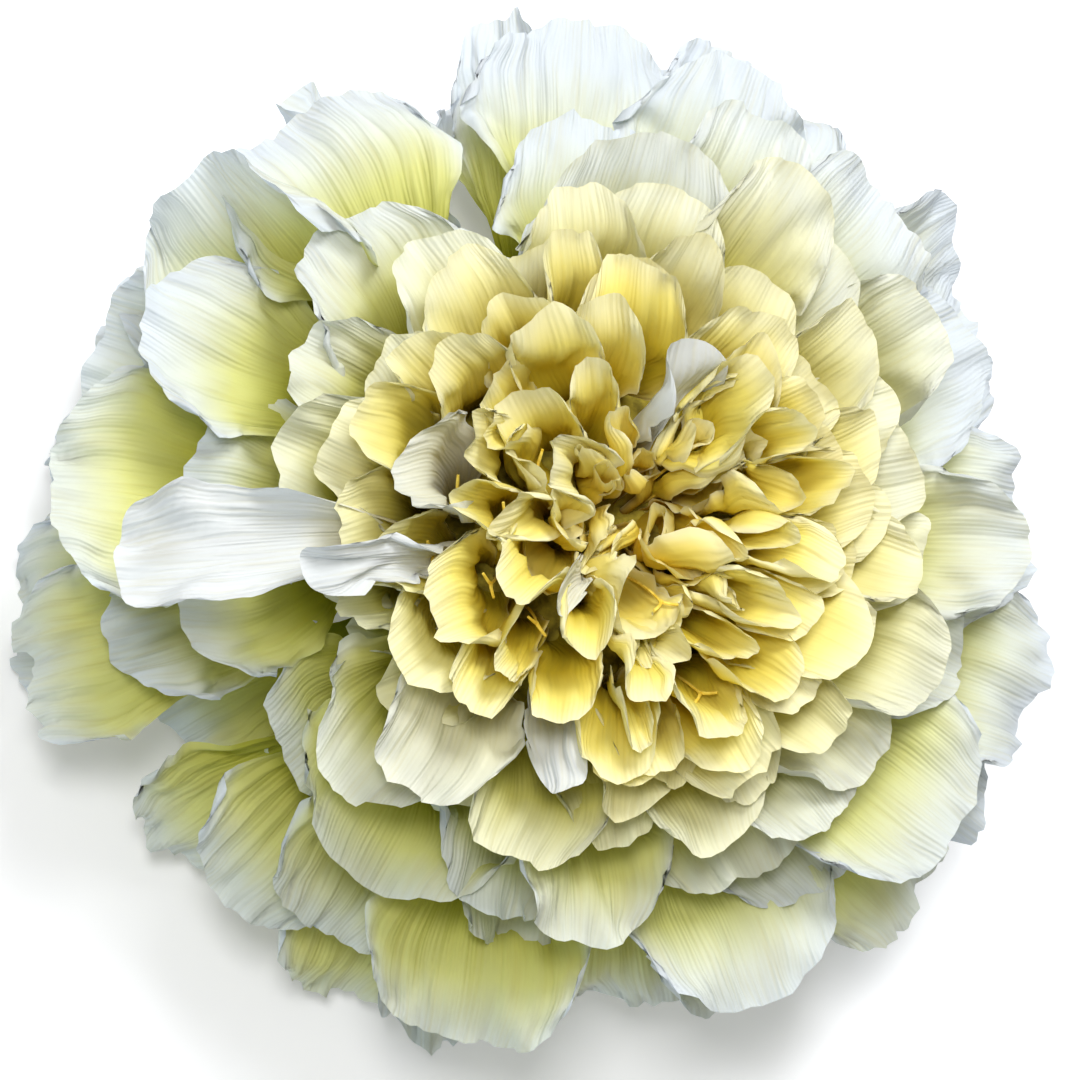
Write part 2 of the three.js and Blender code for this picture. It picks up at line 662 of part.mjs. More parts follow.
// Triangles of a closed body as a network in which a short edge can be closed up
class TriangleNet {
  constructor(mesh) {
    this.points = [];
    for (let k = 0; k < mesh.vertProperties.length; k += 3) {
      this.points.push(new THREE.Vector3().fromArray(mesh.vertProperties, k));
    }
    this.triangles = [];
    this.around = this.points.map(() => new Set());
    for (let k = 0; k < mesh.triVerts.length; k += 3) {
      const corners = [...mesh.triVerts.slice(k, k + 3)];
      corners.forEach((corner) => this.around[corner].add(this.triangles.length));
      this.triangles.push(corners);
    }
  }

  neighbours(point) {
    const found = new Set();
    for (const triangle of this.around[point]) {
      this.triangles[triangle].forEach((corner) => found.add(corner));
    }
    found.delete(point);
    return found;
  }

  // Moving a point onto its neighbour must keep the body closed and turn no face over
  mayClose(gone, kept) {
    const nearKept = this.neighbours(kept);
    const shared = [...this.neighbours(gone)].filter((point) => nearKept.has(point));
    if (shared.length !== 2) {
      return false;
    }
    for (const triangle of this.around[gone]) {
      const corners = this.triangles[triangle];
      if (!corners.includes(kept)) {
        const moved = corners.map((corner) => (corner === gone ? kept : corner));
        const before = faceVector(this.points, corners);
        const after = faceVector(this.points, moved);
        const small = before.length() < SMALL_AREA && after.length() < SMALL_AREA;
        if (!small && !(before.normalize().dot(after.normalize()) > LEAST_FACING)) {
          return false;
        }
      }
    }
    return true;
  }

  close(gone, kept) {
    for (const triangle of this.around[gone]) {
      const corners = this.triangles[triangle];
      if (corners.includes(kept)) {
        for (const corner of corners) {
          if (corner !== gone) {
            this.around[corner].delete(triangle);
          }
        }
        this.triangles[triangle] = null;
      } else {
        corners[corners.indexOf(gone)] = kept;
        this.around[kept].add(triangle);
      }
    }
    this.around[gone].clear();
  }

  closeShortEdges() {
    for (let pass = 0; pass < TIDY_PASSES; pass += 1) {
      if (this.closeOnce() === 0) {
        break;
      }
    }
  }

  closeOnce() {
    let closed = 0;
    for (let triangle = 0; triangle < this.triangles.length; triangle += 1) {
      for (let side = 0; side < 3; side += 1) {
        const corners = this.triangles[triangle];
        if (corners !== null) {
          const gone = corners[side];
          const kept = corners[(side + 1) % 3];
          const short = this.points[gone].distanceTo(this.points[kept]) < SHORTEST_EDGE;
          if (short && this.mayClose(gone, kept)) {
            this.close(gone, kept);
            closed += 1;
          }
        }
      }
    }
    return closed;
  }

  // Points that fall on one another, where two walls touch, are drawn apart
  partTwins() {
    const used = this.points.map((point, k) => k).filter((k) => this.around[k].size > 0);
    used.sort((a, b) => this.points[a].x - this.points[b].x);
    const twins = new Set();
    used.forEach((a, k) => {
      for (let next = k + 1; next < used.length; next += 1) {
        const b = used[next];
        if (this.points[b].x - this.points[a].x > TWIN_DISTANCE) {
          break;
        }
        if (this.points[a].distanceTo(this.points[b]) < TWIN_DISTANCE) {
          twins.add(a).add(b);
        }
      }
    });
    const moves = [...twins].map((twin) => {
      const middle = new THREE.Vector3();
      const near = [...this.neighbours(twin)];
      near.forEach((point) => middle.addScaledVector(this.points[point], 1 / near.length));
      return middle.sub(this.points[twin]).setLength(TWIN_SHIFT);
    });
    [...twins].forEach((twin, k) => this.points[twin].add(moves[k]));
  }

  corners() {
    return this.triangles.filter((corners) => corners !== null).flat();
  }

  solid() {
    return manifoldFrom(this.points.flatMap((point) => point.toArray()), this.corners());
  }

  geometry() {
    const geometry = new THREE.BufferGeometry();
    geometry.setFromPoints(this.points);
    geometry.setIndex(this.corners());
    geometry.computeVertexNormals();
    return geometry;
  }
}

function geometryFrom(solid) {
  let net = new TriangleNet(solid.getMesh());
  for (let round = 0; round < TIDY_ROUNDS; round += 1) {
    net.closeShortEdges();
    net.partTwins();
    net = new TriangleNet(mainBody(net.solid()).getMesh());
  }
  return net.geometry();
}

function namedMesh(name, geometry, look) {
  const mesh = new THREE.Mesh(geometry, new THREE.MeshStandardMaterial(look));
  mesh.name = name;
  return mesh;
}

// A closed body of rings joined in order, closed by a point at each end
function ringedGeometry(rings, bottomHeight, topHeight) {
  const sides = rings[0].length;
  const positions = [];
  const triangles = [];
  for (const ring of rings) {
    for (const [x, y, z] of ring) {
      positions.push(x, y, z);
    }
  }
  const bottom = rings.length * sides;
  const top = bottom + 1;
  positions.push(0, 0, bottomHeight, 0, 0, topHeight);
  for (let side = 0; side < sides; side += 1) {
    const next = (side + 1) % sides;
    triangles.push(bottom, next, side);
    for (let ring = 0; ring + 1 < rings.length; ring += 1) {
      const low = ring * sides;
      const high = low + sides;
      triangles.push(low + side, low + next, high + next, low + side, high + next, high + side);
    }
    const last = (rings.length - 1) * sides;
    triangles.push(last + side, last + next, top);
  }
  const geometry = new THREE.BufferGeometry();
  geometry.setAttribute('position', new THREE.BufferAttribute(new Float32Array(positions), 3));
  geometry.setIndex(triangles);
  geometry.computeVertexNormals();
  return geometry;
}

// A ring of points whose radius and height come from rules of the angle
function ringOf(sides, radiusAt, heightAt) {
  const ring = [];
  for (let side = 0; side < sides; side += 1) {
    const angle = (TURN * side) / sides;
    const radius = radiusAt(angle);
    ring.push([radius * Math.cos(angle), radius * Math.sin(angle), heightAt(angle)]);
  }
  return ring;
}

// Cup of joined bracts: low ribs outside and a pointed tooth at each bract's end
function cupGeometry() {
  const sides = BRACT_COUNT * SIDES_PER_BRACT;
  const tooth = (angle) => {
    const turn = (angle * BRACT_COUNT) / TURN;
    return 1 - 2 * Math.abs(turn - Math.round(turn));
  };
  const ribbed = (radius) => (angle) => radius + CUP_RIB * Math.cos(BRACT_COUNT * angle);
  const rimRadius = (angle) => THREE.MathUtils.lerp(CUP_RIM_RADIUS, CUP_TIP_RADIUS, tooth(angle) ** 2);
  const rimHeight = (angle) => THREE.MathUtils.lerp(CUP_VALLEY_HEIGHT, CUP_TIP_HEIGHT, tooth(angle) ** 2);
  const rings = CUP_PROFILE.map(([radius, height], k) => {
    const plain = k === 0 ? () => radius : ribbed(radius);
    return ringOf(sides, plain, () => height);
  });
  rings.push(ringOf(sides, rimRadius, rimHeight));
  rings.push(ringOf(sides, (angle) => rimRadius(angle) - CUP_WALL, rimHeight));
  rings.push(ringOf(sides, () => CUP_PROFILE[4][0] - CUP_WALL, () => CUP_FLOOR_HEIGHT));
  return ringedGeometry(rings, CUP_PROFILE[0][1], CUP_FLOOR_HEIGHT);
}

function stalkGeometry() {
  const sides = STALK_RIB_COUNT * STALK_SIDES_PER_RIB;
  const rings = STALK_PROFILE.map(([radius, height]) => ringOf(
    sides,
    (angle) => radius + STALK_RIB * Math.cos(STALK_RIB_COUNT * angle),
    () => height,
  ));
  const topHeight = STALK_PROFILE[STALK_PROFILE.length - 1][1];
  return ringedGeometry(rings, STALK_PROFILE[0][1], topHeight);
}

// Blades joined to the receptacle; the heart takes those that end inside its space
function bloomSolids() {
  const inHeart = (floret) => {
    const tip = floret.line[3];
    const radius = Math.hypot(tip.x - HEART_SHIFT_X, tip.y - HEART_SHIFT_Y);
    return radius < profileRadius(HEART_PROFILE, tip.z);
  };
  const rimSpace = lathedSolid(RIM_SPACE_PROFILE, RECEPTACLE_SIDES);
  let heart = lathedSolid(RECEPTACLE_PROFILE, RECEPTACLE_SIDES);
  let rays = lathedSolid(RECEPTACLE_PROFILE, RECEPTACLE_SIDES);
  for (const floret of allFlorets()) {
    const blade = bladeSolid(floret);
    if (inHeart(floret)) {
      heart = heart.add(blade);
    } else {
      rays = rays.add(blade);
    }
  }
  return {
    heart: mainBody(heart.intersect(heartSpace(-GAP / 2))),
    rays: mainBody(rays.subtract(heartSpace(GAP / 2)).subtract(rimSpace)),
  };
}

function buildFlower() {
  const { heart, rays } = bloomSolids();
  const bloom = new THREE.Group();
  bloom.add(namedMesh('ray_florets', geometryFrom(rays), {
    color: 0xf4f2d6, roughness: 0.6, metalness: 0,
  }));
  bloom.add(namedMesh('centre_florets', geometryFrom(heart), {
    color: 0xe2bd3f, roughness: 0.6, metalness: 0,
  }));
  const greens = new THREE.Group();
  greens.add(namedMesh('involucre', cupGeometry(), {
    color: 0x7d9a4a, roughness: 0.65, metalness: 0,
  }));
  greens.add(namedMesh('stalk_stub', stalkGeometry(), {
    color: 0x86a052, roughness: 0.65, metalness: 0,
  }));
  const flower = new THREE.Group();
  flower.add(bloom, greens);
  const box = new THREE.Box3().setFromObject(flower);
  const centre = box.getCenter(new THREE.Vector3());
  flower.position.set(-centre.x, -centre.y, -box.min.z);
  return flower;
}

const flower = buildFlower();

export default flower;
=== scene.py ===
"""African marigold flower: a double cream bloom with a golden heart, face up on a table.

The florets follow the rule of the solid model, on a finer grid, with thin blades, pleats
and frilled margins. Lengths in the rule are millimetres; meshes are in metres.
"""

import math
from types import SimpleNamespace

import bpy
import numpy as np
from mathutils import Matrix, Vector
from mathutils.bvhtree import BVHTree

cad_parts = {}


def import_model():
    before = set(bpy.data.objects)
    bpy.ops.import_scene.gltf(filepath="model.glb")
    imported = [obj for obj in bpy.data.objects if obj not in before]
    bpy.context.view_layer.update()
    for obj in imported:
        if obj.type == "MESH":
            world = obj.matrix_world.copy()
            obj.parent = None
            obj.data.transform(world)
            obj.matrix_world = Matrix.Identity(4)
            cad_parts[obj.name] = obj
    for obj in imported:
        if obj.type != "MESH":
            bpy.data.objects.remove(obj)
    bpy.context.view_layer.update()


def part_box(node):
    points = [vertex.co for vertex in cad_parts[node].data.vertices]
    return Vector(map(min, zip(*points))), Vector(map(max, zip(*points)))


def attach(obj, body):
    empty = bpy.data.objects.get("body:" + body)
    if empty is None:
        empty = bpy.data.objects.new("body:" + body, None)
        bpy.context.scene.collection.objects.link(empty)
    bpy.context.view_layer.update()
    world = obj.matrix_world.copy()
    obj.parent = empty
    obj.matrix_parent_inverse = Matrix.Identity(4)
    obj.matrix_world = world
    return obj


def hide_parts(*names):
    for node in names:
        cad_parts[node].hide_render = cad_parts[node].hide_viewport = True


MM = 0.001
TURN = 2 * math.pi

# Florets, the same rule as in the solid model
FLORET_COUNT = 120
SEED = 11
GOLDEN_ANGLE = math.pi * (3 - math.sqrt(5))
ACCENT_CLEARANCE = 4.5
ACCENT_SEED = 1000

# Roots of the florets on the receptacle
ROOT_RING_INNER = 2
ROOT_RING_WIDTH = 5.5
ROOT_HEIGHT = 24
ROOT_DROP = 4
ROOT_SPREAD = 1.3
STEEPEST_START = 90
START_FALL = 115
START_FALL_RATE = 1.15
TUBE_WIDTH = 3.2
TUBE_SHARE = 0.7

# The heart leans a little to one side
HEART_LEAN_X = 2.6
HEART_LEAN_Y = 1.1
HEART_LEAN_POWER = 3
ROOT_LEAN_SHARE = 0.4

# Centre lines: how stiffly they leave the root and reach the tip, and their length
HANDLE_SHARE = 0.42
LENGTH_PER_CHORD = 1.08

# How far a floret strays from its layer, (everywhere, more where the bloom is wildest)
STRAY = {
    "swing": (0.07, 0.28),
    "reach": (0.09, 0),
    "shift": (0.8, 0),
    "height": (1, 1.2),
    "lean": (9, 14),
    "width": (0.22, 0),
    "mouth": (0.3, 0),
    "roll": (0.2, 0.6),
    "twist": (0.25, 0.5),
    "side": (0.4, 0.3),
    "tone": (1, 0),
}
WILD_SHARE = 0.16
WILD_HALF = 0.28
PHASE_COUNT = 8

# Draws that run upwards, (least, how much more)
RUFFLE_DRAW = (0.6, 0.8)
LOBE_DRAW = (0.5, 1)
WAVES_DRAW = (1, 1)
LIP_DRAW = (0.5, 1.5)

# Stretches of a blade, (start, length) as shares of its own length
WIDENING = (0.3, 0.56)
OPENING = (0.35, 0.6)
ROLLING = (0.3, 0.5)
RUFFLING = (0.4, 0.4)
SIDE_WAVING = (0.4, 0.3)
FRILLING = (0.5, 0.3)
PLEATING = (0.3, 0.5)
TIP = (0.6, 0.4)
TAPERING = (0.9, 0.1)
LIP = (0.82, 0.18)

# Shapes within those stretches
TIP_POWER = 2.3
TAPER = 0.1
LOBES = ((0.9, 3), (0.45, 6.5))
SIDE_WAVE = 0.05
SIDE_WAVE_COUNT = 3.1
SIDE_POWER = 2.6
END_POWER = 6
MIDRIB_FADE = 4
WAVE_LENGTH = 3
WAVE_LENGTH_PER_WIDTH = 0.6
WAVE_SHORTENING = 0.3
SHORT_WAVE = 0.45
SHORT_LENGTH = 0.47
BROAD_WAVE = 0.6
BROAD_TURN = 2.6

# Scallops of the tip, (depth, waves per millimetre), in the visual model only
SCALLOPS = ((0.22, 1.1), (0.16, 1.7))
SCALLOP_DEPTH = 1.1

# Frill of the margin, in the visual model only: (depth, length of a wave)
FRILLS = ((1, 3.3), (0.6, 5.2))
FRILL_DEPTH = 0.06
FRILL_MORE_OUTSIDE = 0.22
FRILL_OUTSIDE = (0.5, 0.25)
FRILL_SIDE_POWER = 8
FRILL_END_POWER = 14

# Pleats along the blade, in the visual model only
PLEAT_WIDTH = 2.2
PLEAT_DEPTH = 0.22
FULL_PLEAT_WIDTH = 16
WILD_PLEAT = 0.05
SECOND_PLEAT = 0.6
SECOND_PLEAT_COUNT = 1.9
SECOND_PLEAT_TURN = 3

# Florets between those of the solid model, on the half steps of the spiral
FILLER_SEED = 3000
FILLER_FIRST = 0.05
FILLER_REACH = 0.95
FILLER_WIDTH = 0.9
FILLER_DROP = 0.6
FILLER_CLEARANCE = 2.4
FILLER_OUTSIDE = (0.55, 0.3)
FILLER_DROP_OUTSIDE = 2.4
FILLER_CLEARANCE_OUTSIDE = 4
FILLER_INSIDE = (0, 0.35)
FILLER_CROWDING_INSIDE = 0.5
WHITE_CLEARANCE = 6

# Heart florets are narrower and more curled than in the solid model
TIGHT_WIDTH = 0.8
TIGHT_MOUTH = 1.1
LOOSENING = (0.15, 0.3)

# Painted light: outer florets are paler on the side of the head towards the key light and deeper
# on the shaded side; heart florets are deeper on the lit side and paler on the far side
LIT_SIDE_AZIMUTH = 65
LIT_SIDE_SHARE = 0.3
LIT_SIDE_TONE = 3

# A number of each floret's own, which picks its part of the petal noise
OWN_PER_RADIAN = 7
OWN_PER_SHARE = 31

# Blades, their grids closer at the tip and the margins
BLADE_START = 0.14
ROW_CROWDING = 0.6
COLUMN_CROWDING = 0.4 * math.pi
EDGE_THICKNESS = 0.06
MIDRIB_THICKNESS = 0.2
THIN_SIDE_POWER = 4
THIN_END_POWER = 8

# Crossing blades are pressed apart on a coarse grid, in millimetres
PRESS_ROWS = 12
PRESS_COLUMNS = 6
PRESS_ROUNDS = 16
PRESS_REACH = 1.8
PRESS_CLEARANCE = 0.6
PRESS_STEP = 0.45
PRESS_EASE = 0.3
MOST_PRESS = 1.2
MOST_SHIFT = 2.5
LEAST_FACING = 0.6
ORDER_WEIGHT = 0.25
FREE_PART = (0.25, 0.35)

# How the florets change from the heart (share 0) to the lowest skirt (share 1). Reach and
# height place the tip, lean is the tip's slope in degrees, width is measured round the
# blade, mouth and throat are half angles of its curl at the tip and at the bottom.
LAYER_KEYS = ("share", "reach", "height", "lean", "width", "mouth", "throat", "ruffle",
              "lobe", "round")
LAYERS = (
    (0, 1.2, 38, 92, 6.5, 2.5, 2.8, 0.25, 0.35, 0.5),
    (0.06, 4.4, 42.5, 80, 7.5, 2.4, 2.8, 0.3, 0.35, 0.5),
    (0.13, 8, 45.8, 70, 8.2, 2.15, 2.8, 0.35, 0.3, 0.6),
    (0.23, 12, 47.8, 62, 8.8, 1.8, 2.7, 0.4, 0.2, 0.75),
    (0.35, 15.5, 48.2, 55, 9.4, 1.5, 2.5, 0.4, 0.12, 0.85),
    (0.49, 20, 46.4, 42, 10.2, 1.15, 2.3, 0.4, 0.15, 0.85),
    (0.62, 25.5, 42.8, 31, 12.5, 1, 2.2, 0.5, 0.2, 0.85),
    (0.73, 32, 37, 18, 16.5, 0.75, 1.9, 0.65, 0.3, 0.75),
    (0.82, 39, 29, 0, 19.5, 0.45, 1.5, 0.8, 0.45, 0.7),
    (0.9, 44, 19, -18, 20.5, 0.3, 1.3, 0.85, 0.5, 0.65),
    (0.95, 44.5, 10, -34, 19.5, 0.25, 1.3, 0.8, 0.5, 0.65),
    (1, 41.5, 2.5, -46, 17.5, 0.25, 1.3, 0.7, 0.5, 0.7),
)

# Florets that stand out by themselves; white is how far the blade has lost its yellow
ACCENT_KEYS = ("azimuth", "reach", "height", "lean", "width", "mouth", "round", "roll",
               "twist", "ruffle", "share", "white")
ACCENTS = (
    (184, 40, 36, -24, 10.5, 0.5, 0.5, 0.15, 0.2, 1, 0.34, 1),
    (190, 27, 44, -6, 7, 0.8, 1, -1, 0.5, 0.7, 0.3, 1),
    (78, 14, 48.5, 38, 6.5, 1.3, 1, 0.5, 0.3, 0.4, 0.28, 1),
    (250, 21.5, 44.5, 24, 5.5, 1.2, 1.3, 0.8, 0.3, 0.4, 0.46, 1),
    (216, 8.5, 49.5, 56, 4.6, 1.1, 1.5, 0.2, 0.1, 0.3, 0.17, 0.8),
    (170, 18.5, 47.8, 55, 12.5, 1.35, 0.7, 0.4, 0.3, 0.4, 0.4, 0.8),
    (203, 12, 48.5, 52, 10.5, 1.4, 0.7, 0.3, 0.2, 0.4, 0.23, 0),
    (35, 48, 18, -6, 22, 0.6, 1.2, 0.35, 0.2, 0.6, 0.86, 0),
    (139, 43, 26, 2, 23, 0.8, 0.6, -0.6, -0.3, 0.7, 0.83, 0),
    (121, 42.5, 19, 8, 11, 1.5, 1.1, 0.4, 0.5, 0.6, 0.85, 0),
    (93, 45, 14, -5, 10, 0.9, 1.2, -0.3, -0.3, 0.6, 0.9, 0),
    (229, 27, 41.5, 12, 13, 0.9, 0.8, 0, 0.1, 0.5, 0.6, 0.6),
    (189, 43, 0, -50, 17, 0.4, 0.7, 0.1, 0.2, 0.7, 0.97, 0),
    (224, 40, 5, -50, 19, 0.4, 0.7, -0.1, -0.2, 0.7, 0.97, 0),
    # skirt florets that close the gaps over the cup
    (64, 43, 6, -40, 18, 0.3, 0.7, 0.1, 0.1, 0.7, 0.96, 0),
    (152, 39, 5, -46, 17, 0.3, 0.7, -0.1, 0.1, 0.7, 0.98, 0),
    (285, 38, 4, -48, 17, 0.3, 0.7, 0.1, -0.1, 0.7, 0.98, 0),
    # four skirt florets pressed flat on the table, on which the flower rests
    (20, 38, -6, -8, 17, 0.3, 0.6, 0, 0, 0.4, 0.99, 0),
    (132, 38, -6, -8, 17, 0.3, 0.6, 0, 0, 0.4, 0.99, 0),
    (250, 38, -6, -8, 17, 0.3, 0.6, 0, 0, 0.4, 0.99, 0),
    (318, 38, -6, -8, 17, 0.3, 0.6, 0, 0, 0.4, 0.99, 0),
)
# Accents of the visual model only: one low in a gap of the skirt, two in the heart
EXTRA_ACCENTS = (
    (208, 34, 6, -34, 15, 0.4, 0.8, 0.1, 0.2, 0.6, 0.93, 0),
    (136, 8.4, 47.5, 60, 9, 1.6, 0.7, 0.3, 0.3, 0.5, 0.2, 0.15),
    (262, 6.5, 47.5, 62, 7.5, 1.7, 0.8, -0.3, -0.3, 0.5, 0.2, 0.1),
)

# Where the skirt is shorter, or longer at a negative depth: azimuth, depth and half width
NOTCHES = (
    (105, 0.26, 6), (13, 0.18, 6), (146, 0.08, 6), (152, -0.05, 5), (168, 0.08, 6),
    (207, 0.22, 8), (218, 0.06, 26), (234, 0.1, 6), (248, 0.1, 7), (279, 0.11, 7),
    (70, -0.14, 16), (358, -0.07, 8), (325, -0.07, 16), (312, 0.1, 5),
)
NOTCH_START = 0.55
NOTCH_FADE = 0.15
# Gaps that skirt florets are turned aside from: azimuth and half width
GAPS = ((105, 7), (14, 1), (40, 1), (206, 1), (279, 1))
GAP_START = 0.66
GAP_WIDTH_SHARE = 0.8
GAP_SPREAD = 0.15

# Surface between the golden heart and the cream rays, (radius, height)
HEART_PROFILE = (
    (0, 26), (5.6, 27), (7.4, 31), (9.2, 35), (11.4, 39.5), (13.8, 44), (16, 48),
    (18, 52), (21, 60),
)
HEART_SHIFT_X = 0.6
HEART_SHIFT_Y = 0.3

# Shares at which the middle and the skirt piece of the ray florets start
UPPER_SHARE = 0.6
SKIRT_SHARE = 0.86

# Petal pieces: cells along and across a blade, material slot, node that the piece replaces
PETAL_PIECES = {
    "heart_petals": (24, 18, "heart_petal", "centre_florets"),
    "upper_ray_petals": (26, 20, "ray_petal", "ray_florets"),
    "middle_ray_petals": (28, 28, "ray_petal", "ray_florets"),
    "skirt_ray_petals": (28, 38, "ray_petal", "ray_florets"),
}

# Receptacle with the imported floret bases, (radius, height) from the bottom up
RECEPTACLE_PROFILE = (
    (0, 15.8), (8.2, 15.8), (9.2, 20.3), (12.6, 20.8), (23, 18.2), (28, 20.8),
    (27.4, 28.5), (22.5, 34.5), (17, 37.5), (11.5, 38.5), (5, 37), (0, 34.5),
)
RECEPTACLE_SIDES = 96
RECEPTACLE_STEPS = 3
RECEPTACLE_SHRINK = 0.62
RECEPTACLE_DROP = 3
LUMP_COUNT = 16
LUMP_DEPTH = 0.03

# Cup of joined bracts under the head
BRACT_COUNT = 8
CUP_SIDES = 192
CUP_STEPS = 4
CUP_PROFILE = ((3.3, 5.2), (5.4, 6), (7.6, 8.2), (9.1, 11.4), (10, 14.6))
CUP_RIM_RADIUS = 10.6
CUP_TIP_RADIUS = 11.6
CUP_VALLEY_HEIGHT = 16.8
CUP_TIP_HEIGHT = 19.7
TOOTH_SHARES = (0.35, 0.7, 1)
CUP_LIP = 0.4
CUP_INSIDE_RADIUS = 9
CUP_FLOOR_HEIGHT = 15.4
CUP_RIB = 0.35
CUP_LINES = 24
CUP_LINE = 0.07

# Cut stalk under the cup, with a sunken pith
STALK_PROFILE = ((2.7, 0.6), (2.85, 0.75), (2.9, 2.4), (3.2, 4.2), (3.3, 4.9))
PITH_PROFILE = ((0.7, 1.3), (1.5, 1.2), (1.9, 0.7))
STALK_SIDES = 144
STALK_STEPS = 3
STALK_RIB_COUNT = 8
STALK_RIB = 0.18
STALK_LINES = 24
STALK_LINE = 0.05

# Forked styles in some florets near the heart
STYLE_FIRST = 0.08
STYLE_LAST = 0.5
STYLE_STEP = 6
STYLE_SIDES = 6
STYLE_START = 0.3
STYLE_END = 0.78
STYLE_POINTS = 9
STYLE_INSET = 1.3
STYLE_RADIUS = 0.17
STYLE_TAPER = 0.7
STYLE_ARM = 1.3
STYLE_ARM_POINTS = 6
STYLE_ARM_SPREAD = 0.8
# A direction that no style runs along
ASLANT = (0.31, 0.17, 0.93)


def smooth(value):
    x = np.clip(value, 0, 1)
    return x * x * (3 - 2 * x)


def rise(value, stretch):
    """Rises from 0 to 1 over a stretch, (start, length)."""
    start, length = stretch
    return smooth((value - start) / length)


def unit(vectors):
    return vectors / (np.linalg.norm(vectors, axis=-1, keepdims=True) + 1e-12)


def degrees_from(centre, azimuth):
    """Angle in degrees from one azimuth to another, -180 to 180."""
    return (math.degrees(azimuth) - centre + 180) % 360 - 180


class SeededDraw:
    """A repeatable stream of numbers between 0 and 1, from the minimal standard generator."""

    FACTOR = 48271
    PRIME = 2147483647
    WARM_UP = 6

    def __init__(self, seed):
        self.state = seed
        for _ in range(self.WARM_UP):
            self.next()

    def next(self):
        self.state = (self.state * self.FACTOR) % self.PRIME
        return self.state / self.PRIME

    def spread(self, most):
        return most * (2 * self.next() - 1)

    def upwards(self, least_and_more):
        least, more = least_and_more
        return least + more * self.next()


def layer_at(share):
    upper = 1
    while LAYERS[upper][0] < share:
        upper += 1
    low, high = LAYERS[upper - 1], LAYERS[upper]
    mix = (share - low[0]) / (high[0] - low[0])
    values = [a + (b - a) * mix for a, b in zip(low, high)]
    return dict(zip(LAYER_KEYS, values))


def notch_factor(azimuth, share):
    """How much shorter the skirt is at an azimuth."""
    cut = 0
    for centre, depth, half in NOTCHES:
        cut += depth * math.exp(-((degrees_from(centre, azimuth) / half) ** 2))
    return 1 - cut * min(max((share - NOTCH_START) / NOTCH_FADE, 0), 1)


def clear_of_gaps(floret):
    """Turns a skirt floret aside where the outline has a deep gap."""
    half_turn = math.degrees(GAP_WIDTH_SHARE * floret.width / 2 / floret.reach)
    for centre, half in GAPS:
        off = degrees_from(centre, floret.azimuth)
        room = half + half_turn
        if floret.share > GAP_START and abs(off) < room:
            moved = room - GAP_SPREAD * (room - abs(off))
            return math.radians(centre + math.copysign(moved, off))
    return floret.azimuth


def draw_floret(number, share, azimuth):
    """Draws one floret's own proportions from its layer."""
    draw = SeededDraw(SEED + number)
    layer = layer_at(share)
    wild = max(0, 1 - abs(share - WILD_SHARE) / WILD_HALF)

    def stray(key):
        everywhere, wildest = STRAY[key]
        return draw.spread(everywhere + wildest * wild)

    floret = SimpleNamespace(share=share, azimuth=azimuth, wild=wild, white=0)
    floret.throat = layer["throat"]
    floret.round = layer["round"]
    floret.swing = stray("swing")
    floret.reach = layer["reach"] * (1 + stray("reach"))
    floret.reach += stray("shift")
    floret.height = layer["height"] + stray("height")
    floret.lean = math.radians(layer["lean"] + stray("lean"))
    floret.width = layer["width"] * (1 + stray("width"))
    floret.mouth = layer["mouth"] * (1 + stray("mouth"))
    floret.ruffle = layer["ruffle"] * draw.upwards(RUFFLE_DRAW)
    floret.lobe = layer["lobe"] * draw.upwards(LOBE_DRAW)
    floret.roll = stray("roll")
    floret.twist = stray("twist")
    floret.waves = draw.upwards(WAVES_DRAW)
    floret.phases = [TURN * draw.next() for _ in range(PHASE_COUNT)]
    floret.side = stray("side")
    floret.lip = draw.upwards(LIP_DRAW)
    # each floret's random tone, plus painted light that pales or deepens it by the side of the
    # head the key light falls on
    toward_lit_side = math.cos(azimuth - math.radians(LIT_SIDE_AZIMUTH))
    floret.tone = stray("tone") + LIT_SIDE_TONE * (share - LIT_SIDE_SHARE) * toward_lit_side
    floret.reach *= notch_factor(azimuth + floret.swing, share)
    floret.azimuth = clear_of_gaps(floret)
    leaning = (1 - share) ** HEART_LEAN_POWER
    floret.offset = np.array((HEART_LEAN_X, HEART_LEAN_Y, 0)) * leaning
    return floret


def heading(azimuth, slope):
    flat = math.cos(slope)
    return np.array((math.cos(azimuth) * flat, math.sin(azimuth) * flat, math.sin(slope)))


def lay_out(floret):
    """Gives the floret its centre line, from its root on the receptacle to its tip."""
    spread = min(1, ROOT_SPREAD * floret.share)
    root_radius = ROOT_RING_INNER + ROOT_RING_WIDTH * spread
    tip_azimuth = floret.azimuth + floret.swing
    start = math.radians(STEEPEST_START - START_FALL * smooth(START_FALL_RATE * floret.share))
    root = root_radius * heading(floret.azimuth, 0) + floret.offset * ROOT_LEAN_SHARE
    root[2] = ROOT_HEIGHT - ROOT_DROP * spread ** 2
    tip = floret.reach * heading(tip_azimuth, 0) + floret.offset
    tip[2] = floret.height
    chord = np.linalg.norm(tip - root)
    leave = heading(floret.azimuth, start) * HANDLE_SHARE * chord
    arrive = heading(tip_azimuth, floret.lean) * HANDLE_SHARE * chord
    floret.line = np.array((root, root + leave, tip - arrive, tip))
    floret.length = LENGTH_PER_CHORD * chord
    middle = (floret.azimuth + tip_azimuth) / 2
    floret.sideways = np.array((-math.sin(middle), math.cos(middle), 0))
    return floret


def ordinary_floret(number):
    share = (number + 0.5) / FLORET_COUNT
    return lay_out(draw_floret(number, share, (number * GOLDEN_ANGLE) % TURN))


def accent_floret(values, index):
    accent = dict(zip(ACCENT_KEYS, values))
    azimuth = math.radians(accent["azimuth"])
    floret = draw_floret(ACCENT_SEED + index, accent["share"], azimuth)
    vars(floret).update(accent, azimuth=azimuth, lean=math.radians(accent["lean"]),
                        swing=0, wild=0, offset=np.zeros(3))
    return lay_out(floret)


def tip_distance(one, other):
    return np.linalg.norm(one.line[3] - other.line[3])


